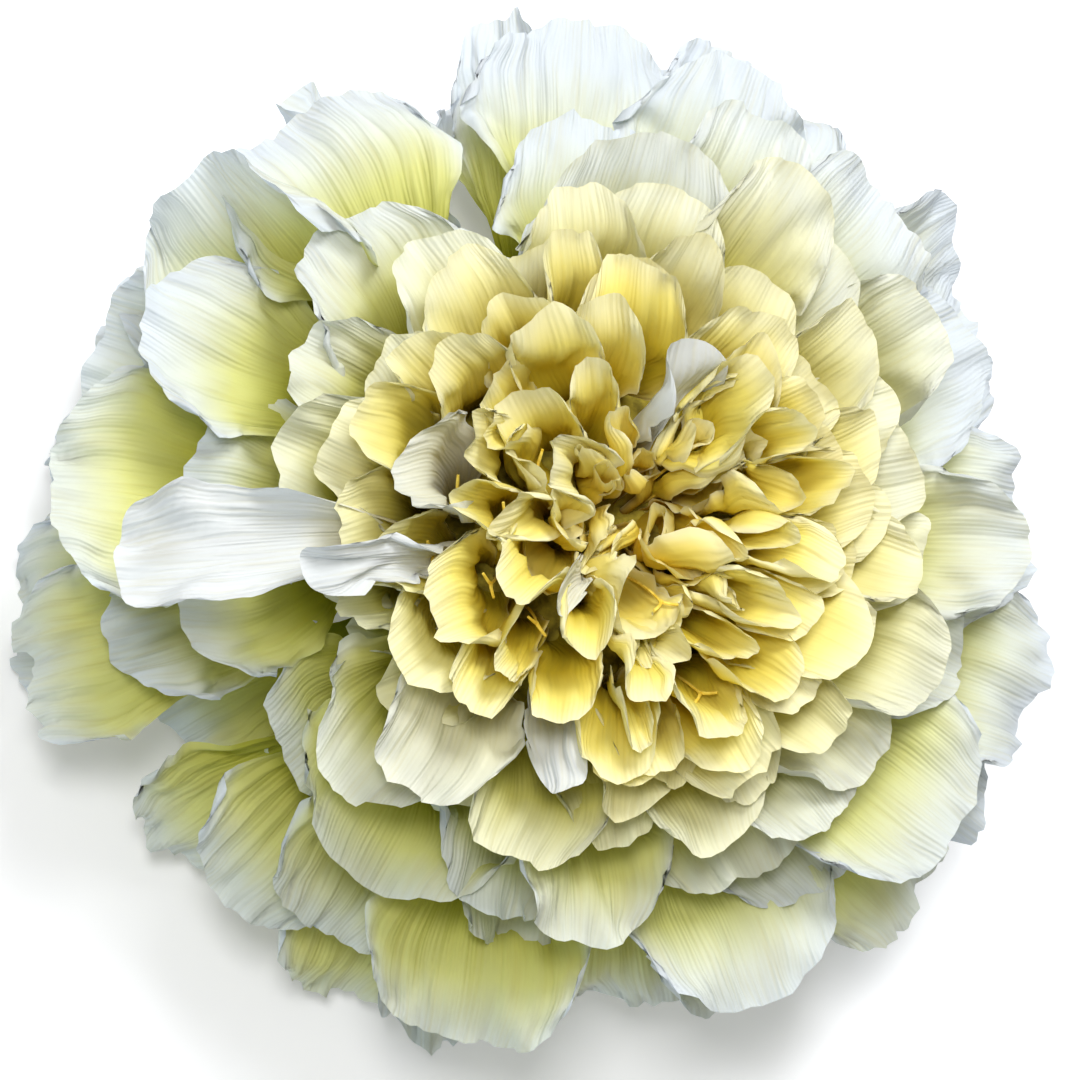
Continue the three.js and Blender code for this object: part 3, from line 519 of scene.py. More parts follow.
def spiral_florets():
    """The florets of the solid model; an ordinary one gives way where an accent stands."""
    accents = [accent_floret(values, index) for index, values in enumerate(ACCENTS)]
    florets = []
    for number in range(FLORET_COUNT):
        floret = ordinary_floret(number)
        if all(tip_distance(floret, accent) >= ACCENT_CLEARANCE for accent in accents):
            florets.append(floret)
    return florets + accents


def filler_florets(florets):
    """Smaller florets on the half steps of the spiral, where the others leave room."""
    found = []
    whites = [floret for floret in florets if floret.white]
    for number in range(round(FLORET_COUNT * FILLER_FIRST), FLORET_COUNT):
        share = (number + 1) / FLORET_COUNT
        azimuth = ((number + 0.5) * GOLDEN_ANGLE) % TURN
        floret = draw_floret(FILLER_SEED + number, share, azimuth)
        outside = rise(share, FILLER_OUTSIDE)
        inside = 1 - rise(share, FILLER_INSIDE)
        floret.reach *= FILLER_REACH
        floret.height -= FILLER_DROP + FILLER_DROP_OUTSIDE * outside
        floret.width *= FILLER_WIDTH
        clearance = FILLER_CLEARANCE + FILLER_CLEARANCE_OUTSIDE * outside
        clearance -= FILLER_CROWDING_INSIDE * inside
        lay_out(floret)
        if any(tip_distance(floret, white) < WHITE_CLEARANCE for white in whites):
            continue
        if all(tip_distance(floret, other) > clearance for other in florets + found):
            found.append(floret)
    return found


def tighten(floret):
    """Makes a heart floret narrower and more curled than in the solid model."""
    tight = 1 - rise(floret.share, LOOSENING)
    if not floret.white:
        floret.width *= 1 - (1 - TIGHT_WIDTH) * tight
        floret.mouth *= 1 + (TIGHT_MOUTH - 1) * tight


def all_florets():
    """Every floret of the visual model, pressed clear of its neighbours."""
    florets = spiral_florets()
    florets += filler_florets(florets)
    florets += [accent_floret(values, index)
                for index, values in enumerate(EXTRA_ACCENTS, len(ACCENTS))]
    for floret in florets:
        tighten(floret)
    for floret, bend in zip(florets, pressed_apart(florets)):
        floret.bend = bend
    return florets


def line_points(line, q):
    p = 1 - q
    weights = np.stack((p ** 3, 3 * p * p * q, 3 * p * q * q, q ** 3), -1)
    return weights @ line


def line_headings(line, q):
    p = 1 - q
    weights = np.stack((3 * p * p, 6 * p * q, 3 * q * q), -1)
    return unit(weights @ (line[1:] - line[:-1]))


def share_along(floret, s, t):
    """Share of the centre line that a point lies over: the tip is rounded and lobed."""
    tipness = rise(s, TIP)
    depth = 1 - np.sqrt(np.clip(1 - np.abs(t) ** TIP_POWER, 0, 1))
    rounding = floret.round * floret.width * depth * tipness / (2 * floret.length)
    wave = 0
    for (size, turn), phase in zip(LOBES, floret.phases[4:6]):
        wave = wave + size * np.cos(turn * t * floret.waves + phase)
    scallops = 0
    for (size, turn), phase in zip(SCALLOPS, floret.phases[6:8]):
        scallops = scallops + size * np.cos(floret.width * turn * t + phase)
    wave = floret.lobe * (wave + SCALLOP_DEPTH * scallops)
    return s * (1 - rounding) + wave * tipness / floret.length


def width_along(floret, s, t):
    tube = min(TUBE_WIDTH, TUBE_SHARE * floret.width)
    phase = np.where(t > 0, floret.phases[6], floret.phases[7])
    spread = tube + (floret.width - tube) * rise(s, WIDENING)
    taper = 1 - TAPER * rise(s, TAPERING)
    wave = SIDE_WAVE * floret.lobe
    wave = wave * np.sin(TURN * s * SIDE_WAVE_COUNT * floret.waves + phase)
    return spread * taper * (1 + wave * rise(s, SIDE_WAVING))


def margin_place(floret, s, t):
    """Millimetres along the margin from the middle of the tip, faded over the midrib."""
    return t * floret.width / 2 + np.tanh(MIDRIB_FADE * t) * (1 - s) * floret.length


def nearness(s, t, side_power, end_power):
    """1 at the margin and 0 well inside the blade."""
    return 1 - (1 - np.abs(t) ** side_power) * (1 - s ** end_power)


def ruffle_at(floret, s, t):
    """Ruffles that run round the blade's margin, with a broad wave across it."""
    place = margin_place(floret, s, t)
    shortening = 1 + WAVE_SHORTENING - WAVE_SHORTENING * floret.waves
    length = (WAVE_LENGTH + WAVE_LENGTH_PER_WIDTH * floret.width) * shortening
    wave = (np.sin(TURN * place / length + floret.phases[0])
            + SHORT_WAVE * np.sin(TURN * place / (SHORT_LENGTH * length) + floret.phases[1]))
    wave = wave * nearness(s, t, SIDE_POWER, END_POWER) * rise(s, RUFFLING)
    broad = BROAD_WAVE * np.sin(BROAD_TURN * floret.waves * t + floret.phases[3])
    return floret.ruffle * (wave + broad * rise(s, OPENING))


def frill_at(floret, s, t):
    """Small waves of the margin and the tip, too fine for the solid model."""
    place = margin_place(floret, s, t)
    wave = 0
    for (size, length), phase in zip(FRILLS, (floret.phases[2], floret.phases[5])):
        wave = wave + size * np.sin(TURN * place / length + phase)
    depth = FRILL_DEPTH + FRILL_MORE_OUTSIDE * rise(floret.share, FRILL_OUTSIDE)
    near = nearness(s, t, FRILL_SIDE_POWER, FRILL_END_POWER)
    return depth * wave * near * rise(s, FRILLING)


def pleats_at(floret, s, t):
    """Lengthwise folds that run up the open part of the blade."""
    turns = floret.width / PLEAT_WIDTH * math.pi * t
    depth = PLEAT_DEPTH * min(1, floret.width / FULL_PLEAT_WIDTH) + WILD_PLEAT * floret.wild
    second = SECOND_PLEAT_COUNT * turns + floret.phases[2] + SECOND_PLEAT_TURN * s
    folds = np.sin(turns + floret.phases[1]) + SECOND_PLEAT * np.sin(second)
    return depth * folds * rise(s, PLEATING)


def blade_surface(floret, s, t):
    """Inner face of a blade: s runs from root to tip, t from -1 to 1 across."""
    q = share_along(floret, s, t)
    along = line_headings(floret.line, q)
    inward = unit(np.cross(along, floret.sideways))
    across = np.cross(inward, along)
    roll = floret.roll * rise(s, ROLLING) + floret.twist * rise(s, TIP)
    cosine, sine = np.cos(roll)[..., None], np.sin(roll)[..., None]
    rolled_across = across * cosine + inward * sine
    rolled_inward = inward * cosine - across * sine
    curl = floret.throat + (floret.mouth - floret.throat) * rise(s, OPENING)
    curl = curl * (1 + floret.side * t / 2)
    radius = width_along(floret, s, t) / 2 / curl
    lip = floret.lip * rise(q, LIP) ** 2
    lift = radius * (1 - np.cos(curl * t)) + ruffle_at(floret, s, t) - lip
    lift = lift + frill_at(floret, s, t)
    sweep = radius * np.sin(curl * t)
    return (line_points(floret.line, q) + rolled_across * sweep[..., None]
            + rolled_inward * lift[..., None])


def blade_grid(rows, columns):
    """Places s and t of a blade's points, closer together towards its margins."""
    s_line = BLADE_START + (1 - BLADE_START) * np.linspace(0, 1, rows + 1) ** ROW_CROWDING
    t_line = np.sin(np.linspace(-1, 1, columns + 1) * COLUMN_CROWDING)
    return np.meshgrid(s_line, t_line / math.sin(COLUMN_CROWDING), indexing="ij")


def grid_normals(points):
    lengthwise = np.gradient(points, axis=0)
    crosswise = np.gradient(points, axis=1)
    return unit(np.cross(crosswise, lengthwise))


def softened(grids, times):
    """Each value of the grids mixed with those next to it."""
    for _ in range(times):
        for axis in (1, 2):
            edge = [(0, 0)] * grids.ndim
            edge[axis] = (1, 1)
            padded = np.pad(grids, edge, mode="edge")
            before = np.take(padded, range(0, grids.shape[axis]), axis)
            after = np.take(padded, range(2, grids.shape[axis] + 2), axis)
            grids = (before + 2 * grids + after) / 4
    return grids


def blades_near(point, own, tree, owners, inwards):
    """Owner, height over the blade and way inwards of each other blade that a point lies over."""
    nearest = {}
    for place, _, quad, distance in tree.find_nearest_range(point, PRESS_REACH):
        other = owners[quad]
        if other != own and (other not in nearest or distance < nearest[other][0]):
            nearest[other] = (distance, quad, place)
    for other, (distance, quad, place) in nearest.items():
        over = (point - place).dot(inwards[quad])
        if abs(over) > LEAST_FACING * distance:
            yield other, over, inwards[quad]


def sides_of(contacts, shares):
    """For each pair of florets, 1 where one lies inside the other's blade and -1 outside."""
    votes = {}
    for own, _, other, over, _ in contacts:
        total, count = votes.get((own, other), (0, 0))
        votes[own, other] = (total + min(max(over, -1), 1), count + 1)
    sides = {}
    for (own, other), (total, count) in votes.items():
        order = 1 if shares[own] < shares[other] else -1
        sides[own, other] = 1 if total / count + ORDER_WEIGHT * order > 0 else -1
    return sides


def grid_quads(index):
    """Corners of the cells of a grid of point numbers, or of several such grids."""
    corners = (index[..., :-1, :-1], index[..., :-1, 1:], index[..., 1:, 1:],
               index[..., 1:, :-1])
    return np.stack(corners, -1).reshape(-1, 4)


def pressed_apart(florets):
    """Coarse grids of shifts, one for each floret, that press crossing blades apart."""
    s, t = blade_grid(PRESS_ROWS, PRESS_COLUMNS)
    rest = np.stack([blade_surface(floret, s, t) for floret in florets])
    shares = [floret.share for floret in florets]
    quads = grid_quads(np.arange(rest[..., 0].size).reshape(rest.shape[:3]))
    owners = np.repeat(np.arange(len(florets)), PRESS_ROWS * PRESS_COLUMNS).tolist()
    freedom = rise(s, FREE_PART)
    free = np.flatnonzero(freedom > 0)
    shift = np.zeros_like(rest)
    sides = {}
    for _ in range(PRESS_ROUNDS):
        points = (rest + shift).reshape(-1, 3)
        a, b, c, d = (points[quads[:, k]] for k in range(4))
        inwards = [Vector(normal) for normal in unit(np.cross(d - b, c - a))]
        tree = BVHTree.FromPolygons(points.tolist(), quads.tolist())
        contacts = []
        for own in range(len(florets)):
            for k in own * s.size + free:
                for near in blades_near(Vector(points[k]), own, tree, owners, inwards):
                    contacts.append((own, k, *near))
        # a pair keeps the sides that it was first found on
        sides = sides_of(contacts, shares) | sides
        push = np.zeros_like(points)
        for own, k, other, over, inward in contacts:
            side = sides[own, other]
            lack = min(PRESS_CLEARANCE - side * over, MOST_PRESS)
            if lack > 0:
                push[k] += np.array(inward) * (side * lack)
        push = softened(push.reshape(rest.shape) * freedom[..., None], 2)
        shift = softened(shift, 1) * PRESS_EASE + shift * (1 - PRESS_EASE) + PRESS_STEP * push
        length = np.linalg.norm(shift, axis=-1, keepdims=True)
        shift *= np.minimum(1, MOST_SHIFT / (length + 1e-9))
    return shift


def spline_weights(fine, coarse):
    """Matrix that carries coarse + 1 values to fine + 1 values along a smooth curve."""
    matrix = np.zeros((fine + 1, coarse + 1))
    for row, place in enumerate(np.linspace(0, coarse, fine + 1)):
        k = min(int(place), coarse - 1)
        x = place - k
        # the weights of a Catmull-Rom spline
        weights = (
            -0.5 * x + x * x - 0.5 * x ** 3,
            1 - 2.5 * x * x + 1.5 * x ** 3,
            0.5 * x + 2 * x * x - 1.5 * x ** 3,
            -0.5 * x * x + 0.5 * x ** 3,
        )
        for step, weight in enumerate(weights):
            matrix[row, min(max(k - 1 + step, 0), coarse)] += weight
    return matrix


def blade_faces(floret, s, t, shift):
    """Inner and outer face of a thin blade as two grids of points."""
    inner = blade_surface(floret, s, t) + shift
    inner = inner + grid_normals(inner) * pleats_at(floret, s, t)[..., None]
    inside = (1 - np.abs(t) ** THIN_SIDE_POWER) * (1 - s ** THIN_END_POWER)
    thickness = EDGE_THICKNESS + MIDRIB_THICKNESS * inside
    inner[..., 2] = np.maximum(inner[..., 2], 0)
    outer = inner + grid_normals(inner) * thickness[..., None]
    low = outer[..., 2] < 0
    outer[low, 2] = 0
    inner[low, 2] = np.maximum(inner[low, 2], thickness[low])
    return inner, outer


def new_piece(name, data):
    piece = bpy.data.objects.new(name, data)
    bpy.context.scene.collection.objects.link(piece)
    return piece


def mesh_piece(name, points, faces, shift, smooth_shaded=True):
    mesh = bpy.data.meshes.new(name)
    mesh.from_pydata(((points + shift) * MM).tolist(), [], faces)
    mesh.validate()
    mesh.polygons.foreach_set("use_smooth", np.full(len(mesh.polygons), smooth_shaded))
    return new_piece(name, mesh)


def grid_faces(rows, columns):
    """Quads of the two faces of a blade, which share their points round the margin."""
    front = np.arange((rows + 1) * (columns + 1)).reshape(rows + 1, columns + 1)
    inside = np.zeros(front.shape, bool)
    inside[1:-1, 1:-1] = True
    back = front.copy()
    back[inside] = front.size + np.arange(inside.sum())
    turned_over = grid_quads(front)[:, (0, 3, 2, 1)]
    return np.concatenate((turned_over, grid_quads(back))), inside


def petal_values(floret, along, across):
    """What the petal material reads at each point of a floret's blade."""
    every = np.ones(len(along))
    return {
        "along": along,
        "rim": np.abs(across),
        "vein_x": across * floret.width / 2,
        "vein_y": along * floret.length,
        "ring": every * floret.share,
        "tone": every * floret.tone,
        "white": every * floret.white,
        "own": every * (floret.azimuth * OWN_PER_RADIAN + floret.share * OWN_PER_SHARE),
    }


def mark_blades(mesh, on_margin, values):
    """Makes the margins sharp edges and gives each point its values."""
    ends = np.zeros(2 * len(mesh.edges), dtype=np.int32)
    mesh.edges.foreach_get("vertices", ends)
    sharp = on_margin[ends.reshape(-1, 2)].all(axis=1)
    mesh.attributes.new("sharp_edge", "BOOLEAN", "EDGE").data.foreach_set("value", sharp)
    for key in values[0]:
        joined = np.concatenate([each[key] for each in values])
        attribute = mesh.attributes.new(key, "FLOAT", "POINT")
        attribute.data.foreach_set("value", joined.astype(np.float32))


def blades_piece(name, florets, rows, columns, shift):
    """Thin blades on one fine grid, bent as their coarse grids were pressed."""
    quads, inside = grid_faces(rows, columns)
    s, t = blade_grid(rows, columns)
    lengthwise = spline_weights(rows, PRESS_ROWS)
    crosswise = spline_weights(columns, PRESS_COLUMNS)

    def both_faces(front, back):
        return np.concatenate((front.reshape(-1, *front.shape[2:]), back[inside]))

    along, across, on_margin = (both_faces(grid, grid) for grid in (s, t, ~inside))
    points = []
    values = []
    for floret in florets:
        bend = np.einsum("ai,bj,ijk->abk", lengthwise, crosswise, floret.bend)
        points.append(both_faces(*blade_faces(floret, s, t, bend)))
        values.append(petal_values(floret, along, across))
    firsts = np.arange(len(florets)) * len(along)
    quads = (quads + firsts[:, None, None]).reshape(-1, 4).tolist()
    piece = mesh_piece(name, np.concatenate(points), quads, shift)
    mark_blades(piece.data, np.tile(on_margin, len(florets)), values)
    return piece


def in_heart(floret):
    tip = floret.line[3]
    radius = math.hypot(tip[0] - HEART_SHIFT_X, tip[1] - HEART_SHIFT_Y)
    for (low_radius, low), (high_radius, high) in zip(HEART_PROFILE, HEART_PROFILE[1:]):
        if low <= tip[2] <= high:
            return radius < low_radius + (high_radius - low_radius) * (tip[2] - low) / (high - low)
    return False


def petal_piece_of(floret):
    """Name of the piece that a floret belongs to."""
    if in_heart(floret):
        return "heart_petals"
    if floret.share < UPPER_SHARE:
        return "upper_ray_petals"
    if floret.share < SKIRT_SHARE:
        return "middle_ray_petals"
    return "skirt_ray_petals"


def ring_quads(first, sides, count):
    """Quads between rings of points that follow each other, numbered from the first."""
    index = first + np.arange(sides * count).reshape(count, sides)
    return grid_quads(np.append(index, index[:, :1], axis=1)).tolist()


def ringed_piece(name, rings, shift):
    """A closed body through rings of points, from its lower end to its upper or inner one."""
    sides = len(rings[0])
    last = sides * (len(rings) - 1)
    bottom = last + sides
    top = bottom + 1
    faces = ring_quads(0, sides, len(rings))
    for side in range(sides):
        after = (side + 1) % sides
        faces.append((bottom, after, side))
        faces.append((last + side, last + after, top))
    ends = (rings[0].mean(axis=0), rings[-1].mean(axis=0))
    return mesh_piece(name, np.concatenate((*rings, ends)), faces, shift)


def ring_of(angles, radius, height):
    """Points round the axis; radius and height are numbers or values for each angle."""
    radius = radius + 0 * angles
    height = height + 0 * angles
    return np.stack((radius * np.cos(angles), radius * np.sin(angles), height), -1)


def drawn_out(profile, steps):
    """A smooth curve through a profile's points, each span in equal steps."""
    weights = spline_weights(steps * (len(profile) - 1), len(profile) - 1)
    return weights @ np.array(profile)


def angles_round(sides):
    return np.arange(sides) * TURN / sides


def receptacle_piece(shift):
    """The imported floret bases, with upright lumps that wander round with the height."""
    angles = angles_round(RECEPTACLE_SIDES)
    rings = []
    for radius, height in drawn_out(RECEPTACLE_PROFILE, RECEPTACLE_STEPS)[1:-1]:
        lumps = 1 + LUMP_DEPTH * np.cos(LUMP_COUNT * angles + height)
        rings.append(ring_of(angles, radius * RECEPTACLE_SHRINK * lumps,
                             height - RECEPTACLE_DROP))
    return ringed_piece("receptacle", rings, shift)


def cup_piece(shift):
    """Cup of joined bracts: ribs outside and a pointed tooth at each bract's end."""
    angles = angles_round(CUP_SIDES)
    turn = angles * BRACT_COUNT / TURN
    tooth = (1 - 2 * np.abs(turn - np.round(turn))) ** 2
    rib = CUP_RIB * np.cos(BRACT_COUNT * angles) + CUP_LINE * np.cos(CUP_LINES * angles)
    rim_radius = CUP_RIM_RADIUS + (CUP_TIP_RADIUS - CUP_RIM_RADIUS) * tooth
    rim_height = CUP_VALLEY_HEIGHT + (CUP_TIP_HEIGHT - CUP_VALLEY_HEIGHT) * tooth
    outline = drawn_out(CUP_PROFILE, CUP_STEPS)
    rings = []
    for k, (radius, height) in enumerate(outline):
        rings.append(ring_of(angles, radius + rib * min(1, k / CUP_STEPS), height))
    top_radius, top_height = outline[-1]
    for share in TOOTH_SHARES:
        radius = top_radius + rib * (1 - share) + (rim_radius - top_radius) * share
        rings.append(ring_of(angles, radius, top_height + (rim_height - top_height) * share))
    rings.append(ring_of(angles, rim_radius - CUP_LIP, rim_height))
    rings.append(ring_of(angles, CUP_INSIDE_RADIUS, CUP_FLOOR_HEIGHT))
    rings.append(ring_of(angles, CUP_INSIDE_RADIUS / 2, CUP_FLOOR_HEIGHT))
    return ringed_piece("bract_cup", rings, shift)


def stalk_piece(shift):
    """Ribbed stub of the stalk with a sunken pith in its cut end."""
    angles = angles_round(STALK_SIDES)
    rib = STALK_RIB * np.cos(STALK_RIB_COUNT * angles)
    rib = rib + STALK_LINE * np.cos(STALK_LINES * angles)
    rings = [ring_of(angles, radius, height) for radius, height in PITH_PROFILE]
    for radius, height in drawn_out(STALK_PROFILE, STALK_STEPS):
        rings.append(ring_of(angles, radius + rib, height))
    return ringed_piece("ribbed_stalk", rings, shift)


def tube_rings(path, radii):
    """Rings round a path of points, square to it."""
    angles = angles_round(STYLE_SIDES)
    along = unit(np.gradient(path, axis=0))
    across = unit(np.cross(along, ASLANT))
    upward = np.cross(along, across)
    rings = []
    for point, first, second, radius in zip(path, across, upward, radii):
        ring = np.cos(angles)[:, None] * first + np.sin(angles)[:, None] * second
        rings.append(point + radius * ring)
    return rings


def style_paths(floret):
    """Centre lines of a style that stands in a floret's mouth and of its two arms."""
    q = np.linspace(STYLE_START, STYLE_END, STYLE_POINTS)
    along = line_headings(floret.line, q)
    inward = unit(np.cross(along, floret.sideways))
    stem = line_points(floret.line, q) + inward * STYLE_INSET
    bend = np.linspace(0, 1, STYLE_ARM_POINTS)[:, None]
    paths = [stem]
    for side in (-1, 1):
        out = floret.sideways * side
        arm = bend * along[-1] + STYLE_ARM_SPREAD * bend ** 2 * out
        paths.append(stem[-1] + STYLE_ARM * arm)
    return paths


def styles_piece(florets, shift):
    """Forked yellow styles of some heart florets, joined in one mesh."""
    points = []
    faces = []
    chosen = [floret for floret in florets if STYLE_FIRST < floret.share < STYLE_LAST]
    for floret in chosen[::STYLE_STEP]:
        for path in style_paths(floret):
            rings = tube_rings(path, np.linspace(1, STYLE_TAPER, len(path)) * STYLE_RADIUS)
            first = len(points)
            last = first + STYLE_SIDES * (len(rings) - 1)
            points.extend(np.concatenate(rings))
            faces.extend(ring_quads(first, STYLE_SIDES, len(rings)))
            faces.append(tuple(reversed(range(first, first + STYLE_SIDES))))
            faces.append(tuple(range(last, last + STYLE_SIDES)))
    return mesh_piece("forked_styles", np.array(points), faces, shift, smooth_shaded=False)


class Nodes:
    """Short calls for the nodes of one material."""

    def __init__(self, name):
        self.material = bpy.data.materials.new(name)
        self.material.use_nodes = True
        self.tree = self.material.node_tree
        self.tree.nodes.clear()

    def new(self, kind, **settings):
        node = self.tree.nodes.new(kind)
        for key, value in settings.items():
            setattr(node, key, value)
        return node

    def put(self, value, socket):
        if isinstance(value, bpy.types.NodeSocket):
            self.tree.links.new(value, socket)
        elif value is not None:
            socket.default_value = value

    def attribute(self, name):
        return self.new("ShaderNodeAttribute", attribute_name=name).outputs["Fac"]

    def place(self, stretch=1):
        """The point in the piece's own frame, with its height shortened."""
        node = self.new("ShaderNodeVectorMath", operation="MULTIPLY")
        self.put(self.new("ShaderNodeTexCoord").outputs["Object"], node.inputs[0])
        self.put((1, 1, stretch), node.inputs[1])
        return node.outputs[0]

    def math(self, operation, a, b=None, c=None, clamp=False):
        node = self.new("ShaderNodeMath", operation=operation, use_clamp=clamp)
        for value, socket in zip((a, b, c), node.inputs):
            self.put(value, socket)
        return node.outputs[0]

    def scaled(self, value, factor, added=0, clamp=False):
        return self.math("MULTIPLY_ADD", value, factor, added, clamp)

    def combine(self, x, y, z):
        node = self.new("ShaderNodeCombineXYZ")
        for value, socket in zip((x, y, z), node.inputs):
            self.put(value, socket)
        return node.outputs[0]

    def noise(self, vector, scale, detail, dimensions="3D"):
        node = self.new("ShaderNodeTexNoise", noise_dimensions=dimensions)
        self.put(vector, node.inputs["Vector"])
        self.put(scale, node.inputs["Scale"])
        self.put(detail, node.inputs["Detail"])
        return node.outputs["Fac"]

    def ramp(self, factor, stops):
        node = self.new("ShaderNodeValToRGB")
        self.put(factor, node.inputs[0])
        elements = node.color_ramp.elements
        elements.remove(elements[1])
        (elements[0].position, first), *others = stops
        elements[0].color = colour(*first)
        for position, screen in others:
            elements.new(position).color = colour(*screen)
        return node.outputs[0]

    def mix(self, factor, a, b):
        node = self.new("ShaderNodeMix", data_type="RGBA")
        self.put(factor, node.inputs["Factor"])
        self.put(a, node.inputs[6])
        self.put(b, node.inputs[7])
        return node.outputs[2]

    def principled(self, base, roughness, height=None, strength=None, distance=None):
        """A shader with its colour and roughness, and a bump where a height is given."""
        shader = self.new("ShaderNodeBsdfPrincipled")
        self.put(base, shader.inputs["Base Color"])
        self.put(roughness, shader.inputs["Roughness"])
        if height is not None:
            bump = self.new("ShaderNodeBump")
            self.put(height, bump.inputs["Height"])
            self.put(strength, bump.inputs["Strength"])
            self.put(distance, bump.inputs["Distance"])
            self.put(bump.outputs[0], shader.inputs["Normal"])
        return shader

    def finish(self, shader):
        output = self.new("ShaderNodeOutputMaterial")
        self.put(shader.outputs[0], output.inputs[0])
        return self.material


def colour(red, green, blue):
    """A screen colour, 0 to 255, as the linear one that a shader takes."""
    linear = []
    for value in (red / 255, green / 255, blue / 255):
        linear.append(value / 12.92 if value <= 0.04045 else ((value + 0.055) / 1.055) ** 2.4)
    return (*linear, 1)


# Petal colours from root to tip, as (share of the blade's length, screen colour). The dark olive
# towards the roots is partly the florets' own deeper colour and partly painted shade of the deep
# gaps between florets
HEART_COLOURS = (
    (0.36, (120, 90, 4)), (0.60, (206, 168, 22)), (0.80, (244, 216, 66)),
    (0.94, (252, 235, 112)), (1.06, (253, 245, 170)),
)
MIDDLE_COLOURS = (
    (0.36, (154, 134, 8)), (0.57, (214, 192, 32)), (0.77, (244, 225, 78)),
    (0.91, (250, 239, 134)), (1.06, (252, 248, 204)),
)
OUTER_COLOURS = (
    (0.25, (124, 130, 6)), (0.45, (172, 174, 34)), (0.62, (208, 208, 88)),
    (0.78, (229, 230, 156)), (0.90, (231, 235, 224)), (1.00, (226, 232, 238)),
)
# colour of the painted highlight along the margins of the inner florets
RIM_HIGHLIGHT_COLOUR = colour(252, 248, 212)
CREAM_WHITE = colour(232, 235, 237)
VEIN_COLOUR = colour(204, 190, 86)

# Petal shading. A pair is a factor and what is added to the product
OPEN_PART = (2.5, -1)
EDGE_POWER = 10
EDGE_PALING = 0.12
TONE_PALING = 0.04
TO_MIDDLE = (7, -0.4)
TO_OUTER = (3, -1.35)
# painted highlight round the margins and tips of the inner florets
RIM_HIGHLIGHT_POWER = 13
TIP_HIGHLIGHT_POWER = 30
RIM_HIGHLIGHT_STRENGTH = 0.95
WHITENING = (3, -1)
VEINS_PER_MM = 3.4
VEINS_PER_MM_ALONG = 0.14
CLOUDS_PER_MM = 0.22
VEIN_SHADE = (-0.4, 0.21)
CLOUD_SHADE = (-0.2, 0.1)
PETAL_ROUGHNESS = 0.55
PETAL_SPECULAR = 0.25
PETAL_BUMP = (0.8, 0.00016)
TRANSLUCENT_SHARE = 0.38


def petal_base(nodes, place, ring):
    """Colour along a blade, for the floret's own layer."""
    heart = nodes.ramp(place, HEART_COLOURS)
    middle = nodes.ramp(place, MIDDLE_COLOURS)
    outer = nodes.ramp(place, OUTER_COLOURS)
    to_middle = nodes.scaled(ring, *TO_MIDDLE, clamp=True)
    to_outer = nodes.scaled(ring, *TO_OUTER, clamp=True)
    return nodes.mix(to_outer, nodes.mix(to_middle, heart, middle), outer), to_outer


def petal_veins(nodes):
    """Fine veins along the blade with broad clouds, and the ridges of the veins."""
    own = nodes.attribute("own")
    across_mm = nodes.attribute("vein_x")
    along_mm = nodes.attribute("vein_y")
    stretched = nodes.combine(nodes.scaled(across_mm, VEINS_PER_MM, own),
                              nodes.scaled(along_mm, VEINS_PER_MM_ALONG, own), 0)
    veins = nodes.noise(stretched, 1, 1, "2D")
    ridges = nodes.noise(stretched, 1, 0, "2D")
    moved = nodes.combine(nodes.math("ADD", across_mm, own),
                          nodes.math("ADD", along_mm, own), 0)
    clouds = nodes.noise(moved, CLOUDS_PER_MM, 0, "2D")
    shade = nodes.math("ADD", nodes.scaled(veins, *VEIN_SHADE),
                       nodes.scaled(clouds, *CLOUD_SHADE))
    return nodes.math("MAXIMUM", shade, 0), ridges


def petal_material():
    """Satin petals that let light through, deep at the root and pale at the tip."""
    nodes = Nodes("petal")
    along, rim, ring = (nodes.attribute(name) for name in ("along", "rim", "ring"))
    # margins pale earlier than the middle of a blade
    open_part = nodes.scaled(along, *OPEN_PART, clamp=True)
    edge = nodes.math("MULTIPLY", nodes.math("POWER", rim, EDGE_POWER), open_part)
    place = nodes.scaled(edge, EDGE_PALING, along)
    # the tone holds each floret's random tone and the painted light of its side of the head
    place = nodes.scaled(nodes.attribute("tone"), TONE_PALING, place)
    base, to_outer = petal_base(nodes, place, ring)
    # painted highlight: a pale line round the margin and the tip of the inner florets, where their
    # thin edges catch the light
    margin = nodes.math("MULTIPLY", nodes.math("POWER", rim, RIM_HIGHLIGHT_POWER), open_part)
    tip = nodes.math("POWER", along, TIP_HIGHLIGHT_POWER)
    margin = nodes.math("MULTIPLY", nodes.math("MAXIMUM", margin, tip), RIM_HIGHLIGHT_STRENGTH)
    margin = nodes.math("MULTIPLY", margin, nodes.math("SUBTRACT", 1, to_outer))
    base = nodes.mix(margin, base, RIM_HIGHLIGHT_COLOUR)
    # florets that have lost their yellow
    fading = nodes.scaled(along, *WHITENING, clamp=True)
    fading = nodes.math("MULTIPLY", nodes.attribute("white"), fading)
    base = nodes.mix(fading, base, CREAM_WHITE)
    shade, ridges = petal_veins(nodes)
    base = nodes.mix(shade, base, VEIN_COLOUR)
    skin = nodes.principled(base, PETAL_ROUGHNESS, ridges, *PETAL_BUMP)
    nodes.put(PETAL_SPECULAR, skin.inputs["Specular IOR Level"])
    translucent = nodes.new("ShaderNodeBsdfTranslucent")
    nodes.put(base, translucent.inputs[0])
    blend = nodes.new("ShaderNodeMixShader")
    nodes.put(TRANSLUCENT_SHARE, blend.inputs[0])
    nodes.put(skin.outputs[0], blend.inputs[1])
    nodes.put(translucent.outputs[0], blend.inputs[2])
    return nodes.finish(blend)


# Other materials: a noise is (scale per metre, detail), a bump (strength, depth in metres)
BASES_COLOURS = ((0.35, (120, 106, 14)), (0.65, (196, 178, 58)))
BASES_STRETCH = 0.2
BASES_NOISE = (900, 3)
BASES_ROUGHNESS = 0.8
BASES_BUMP = (0.7, 0.0004)

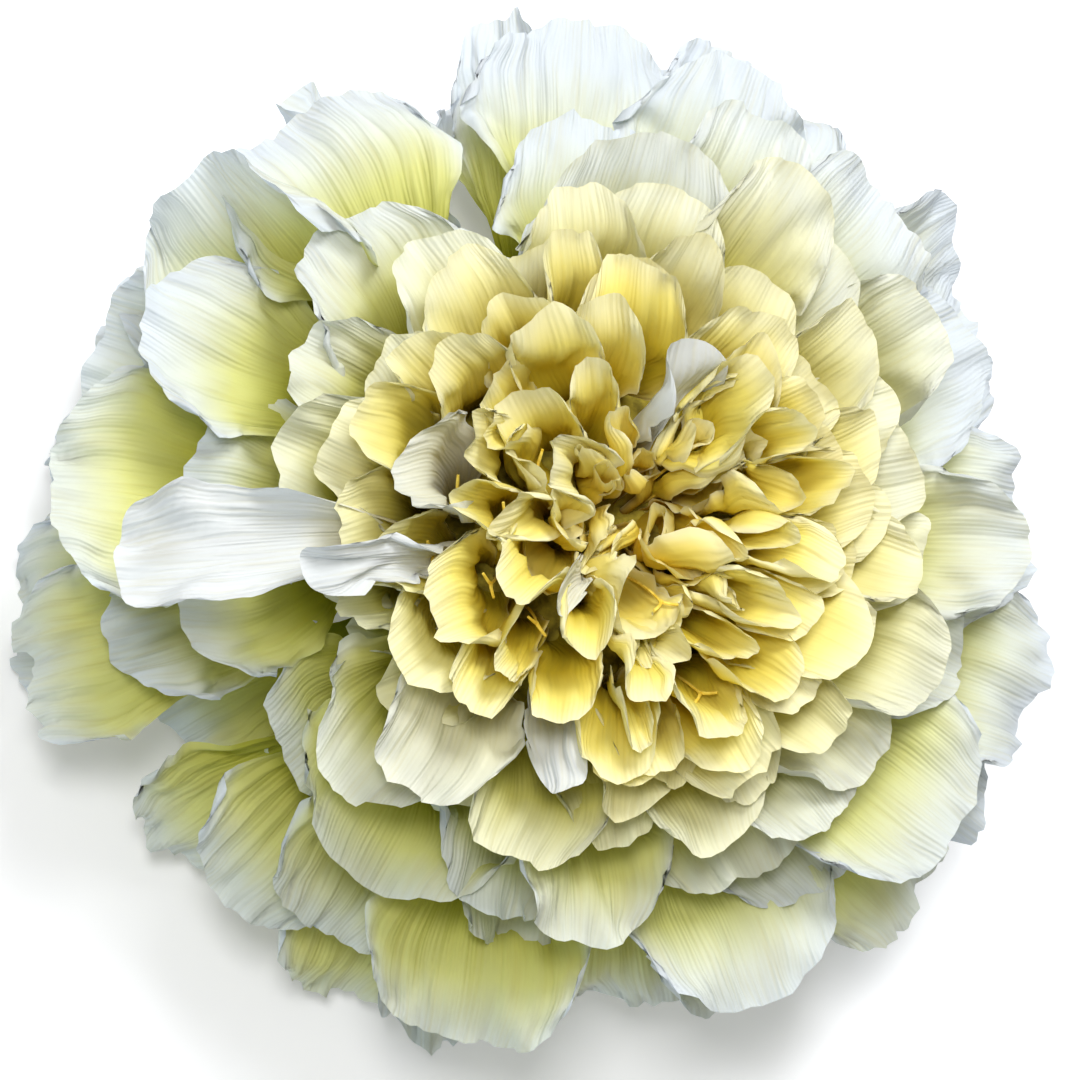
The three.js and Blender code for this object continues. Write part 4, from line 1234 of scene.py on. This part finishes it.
# (lines, between the lines, oil glands)
BRACT_GREENS = ((100, 130, 52), (150, 176, 84), (120, 96, 30))
STALK_GREENS = ((112, 140, 62), (156, 182, 96), (124, 120, 50))
LINE_STRETCH = 0.12
LINE_NOISE = (1600, 3)
LINE_STOPS = (0.35, 0.65)
GLAND_STRETCH = 0.5
GLAND_SCALE = 420
GLAND_SPOT = (-6, 1.6)
GLAND_STRENGTH = 0.7
GLAND_SINKING = -0.8
GREEN_ROUGHNESS = 0.6
GREEN_BUMP = (0.5, 0.0002)

STYLE_COLOURS = ((0.3, (216, 180, 44)), (0.7, (246, 222, 104)))
STYLE_NOISE = (1500, 2)
STYLE_ROUGHNESS = 0.7
STYLE_BUMP = (0.6, 0.0001)


def receptacle_material():
    """Packed floret bases: upright olive and gold streaks."""
    nodes = Nodes("receptacle")
    streaks = nodes.noise(nodes.place(BASES_STRETCH), *BASES_NOISE)
    base = nodes.ramp(streaks, BASES_COLOURS)
    return nodes.finish(nodes.principled(base, BASES_ROUGHNESS, streaks, *BASES_BUMP))


def leafy_material(name, greens):
    """Matt green skin with fine lengthwise lines and sunken oil glands."""
    nodes = Nodes(name)
    *line_greens, gland = greens
    lines = nodes.noise(nodes.place(LINE_STRETCH), *LINE_NOISE)
    base = nodes.ramp(lines, list(zip(LINE_STOPS, line_greens)))
    cells = nodes.new("ShaderNodeTexVoronoi")
    nodes.put(nodes.place(GLAND_STRETCH), cells.inputs["Vector"])
    nodes.put(GLAND_SCALE, cells.inputs["Scale"])
    spots = nodes.scaled(cells.outputs["Distance"], *GLAND_SPOT, clamp=True)
    base = nodes.mix(nodes.math("MULTIPLY", spots, GLAND_STRENGTH), base, colour(*gland))
    height = nodes.scaled(spots, GLAND_SINKING, lines)
    return nodes.finish(nodes.principled(base, GREEN_ROUGHNESS, height, *GREEN_BUMP))


def style_material():
    """Yellow styles with fine speckles."""
    nodes = Nodes("style")
    speckle = nodes.noise(nodes.place(), *STYLE_NOISE)
    base = nodes.ramp(speckle, STYLE_COLOURS)
    return nodes.finish(nodes.principled(base, STYLE_ROUGHNESS, speckle, *STYLE_BUMP))


# Camera and light. The photograph is square and looks down on the bloom from one side
VIEW_DIRECTION = Vector((-0.28, -0.045, 0.96)).normalized()
VIEW_TARGET = Vector((-0.0011, -0.0014, 0.020))
VIEW_DISTANCE = 0.36
VIEW_WIDTH = 0.0905
SENSOR_WIDTH = 36

# Area lights as (name, place, size, power, tint)
LIGHTS = (
    ("key", (0.07, 0.29, 0.44), 0.18, 2.2, (0.98, 0.985, 1.0)),
    ("front", (-0.15, 0.09, 0.52), 0.12, 1.25, (1.0, 0.98, 0.95)),
    ("fill", (-0.36, -0.24, 0.07), 0.20, 0.30, (0.38, 0.68, 1.0)),
)
WORLD_COLOUR = (0.97, 0.97, 0.88, 1)
WORLD_STRENGTH = 0.41

FLOOR_HALF = 3
FLOOR_COLOUR = (0.92, 0.93, 0.98, 1)
FLOOR_ROUGHNESS = 0.9
FLOOR_GLOW = 0.16


def make_camera():
    camera = bpy.data.cameras.new("camera")
    camera.sensor_width = SENSOR_WIDTH
    camera.lens = SENSOR_WIDTH * VIEW_DISTANCE / VIEW_WIDTH
    holder = new_piece("camera", camera)
    place = VIEW_TARGET + VIEW_DIRECTION * VIEW_DISTANCE
    right = Vector((0, 1, 0)).cross(VIEW_DIRECTION).normalized()
    up = VIEW_DIRECTION.cross(right)
    turned = Matrix((right, up, VIEW_DIRECTION)).transposed().to_4x4()
    holder.matrix_world = Matrix.Translation(place) @ turned
    bpy.context.scene.camera = holder


def make_lights():
    for name, place, size, power, tint in LIGHTS:
        light = bpy.data.lights.new(name, "AREA")
        light.size = size
        light.energy = power
        light.color = tint
        holder = new_piece(name, light)
        holder.location = place
        aim = VIEW_TARGET - Vector(place)
        holder.rotation_euler = aim.to_track_quat("-Z", "Y").to_euler()
    world = bpy.data.worlds.new("world")
    bpy.context.scene.world = world
    world.use_nodes = True
    background = world.node_tree.nodes["Background"]
    background.inputs[0].default_value = WORLD_COLOUR
    background.inputs[1].default_value = WORLD_STRENGTH
    bpy.context.scene.view_settings.view_transform = "Standard"


def make_stage():
    """A plain pale floor under the flower."""
    corners = [(x * FLOOR_HALF, y * FLOOR_HALF, 0)
               for x, y in ((-1, -1), (1, -1), (1, 1), (-1, 1))]
    mesh = bpy.data.meshes.new("floor")
    mesh.from_pydata(corners, [], [(0, 1, 2, 3)])
    floor = new_piece("floor", mesh)
    nodes = Nodes("floor")
    shader = nodes.principled(FLOOR_COLOUR, FLOOR_ROUGHNESS)
    nodes.put((1, 1, 1, 1), shader.inputs["Emission Color"])
    nodes.put(FLOOR_GLOW, shader.inputs["Emission Strength"])
    mesh.materials.append(nodes.finish(shader))


def dress(piece, material, slot_name, node=None):
    """Gives a piece its material and its place in the solid model."""
    piece.data.materials.append(material)
    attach(piece, "root")
    if node:
        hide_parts(node)


def make_flower(shift):
    florets = all_florets()
    petal = petal_material()
    for name, (rows, columns, slot_name, node) in PETAL_PIECES.items():
        members = [floret for floret in florets if petal_piece_of(floret) == name]
        dress(blades_piece(name, members, rows, columns, shift), petal, slot_name, node)
    dress(receptacle_piece(shift), receptacle_material(), "heart_petal")
    dress(styles_piece(florets, shift), style_material(), "heart_petal")
    dress(cup_piece(shift), leafy_material("bract_green", BRACT_GREENS), "bract", "involucre")
    dress(stalk_piece(shift), leafy_material("stalk_green", STALK_GREENS), "stalk",
          "stalk_stub")


def main():
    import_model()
    low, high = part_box("stalk_stub")
    centre = (low + high) / 2 / MM
    make_flower((centre.x, centre.y, 0))
    make_stage()
    make_camera()
    make_lights()


main()
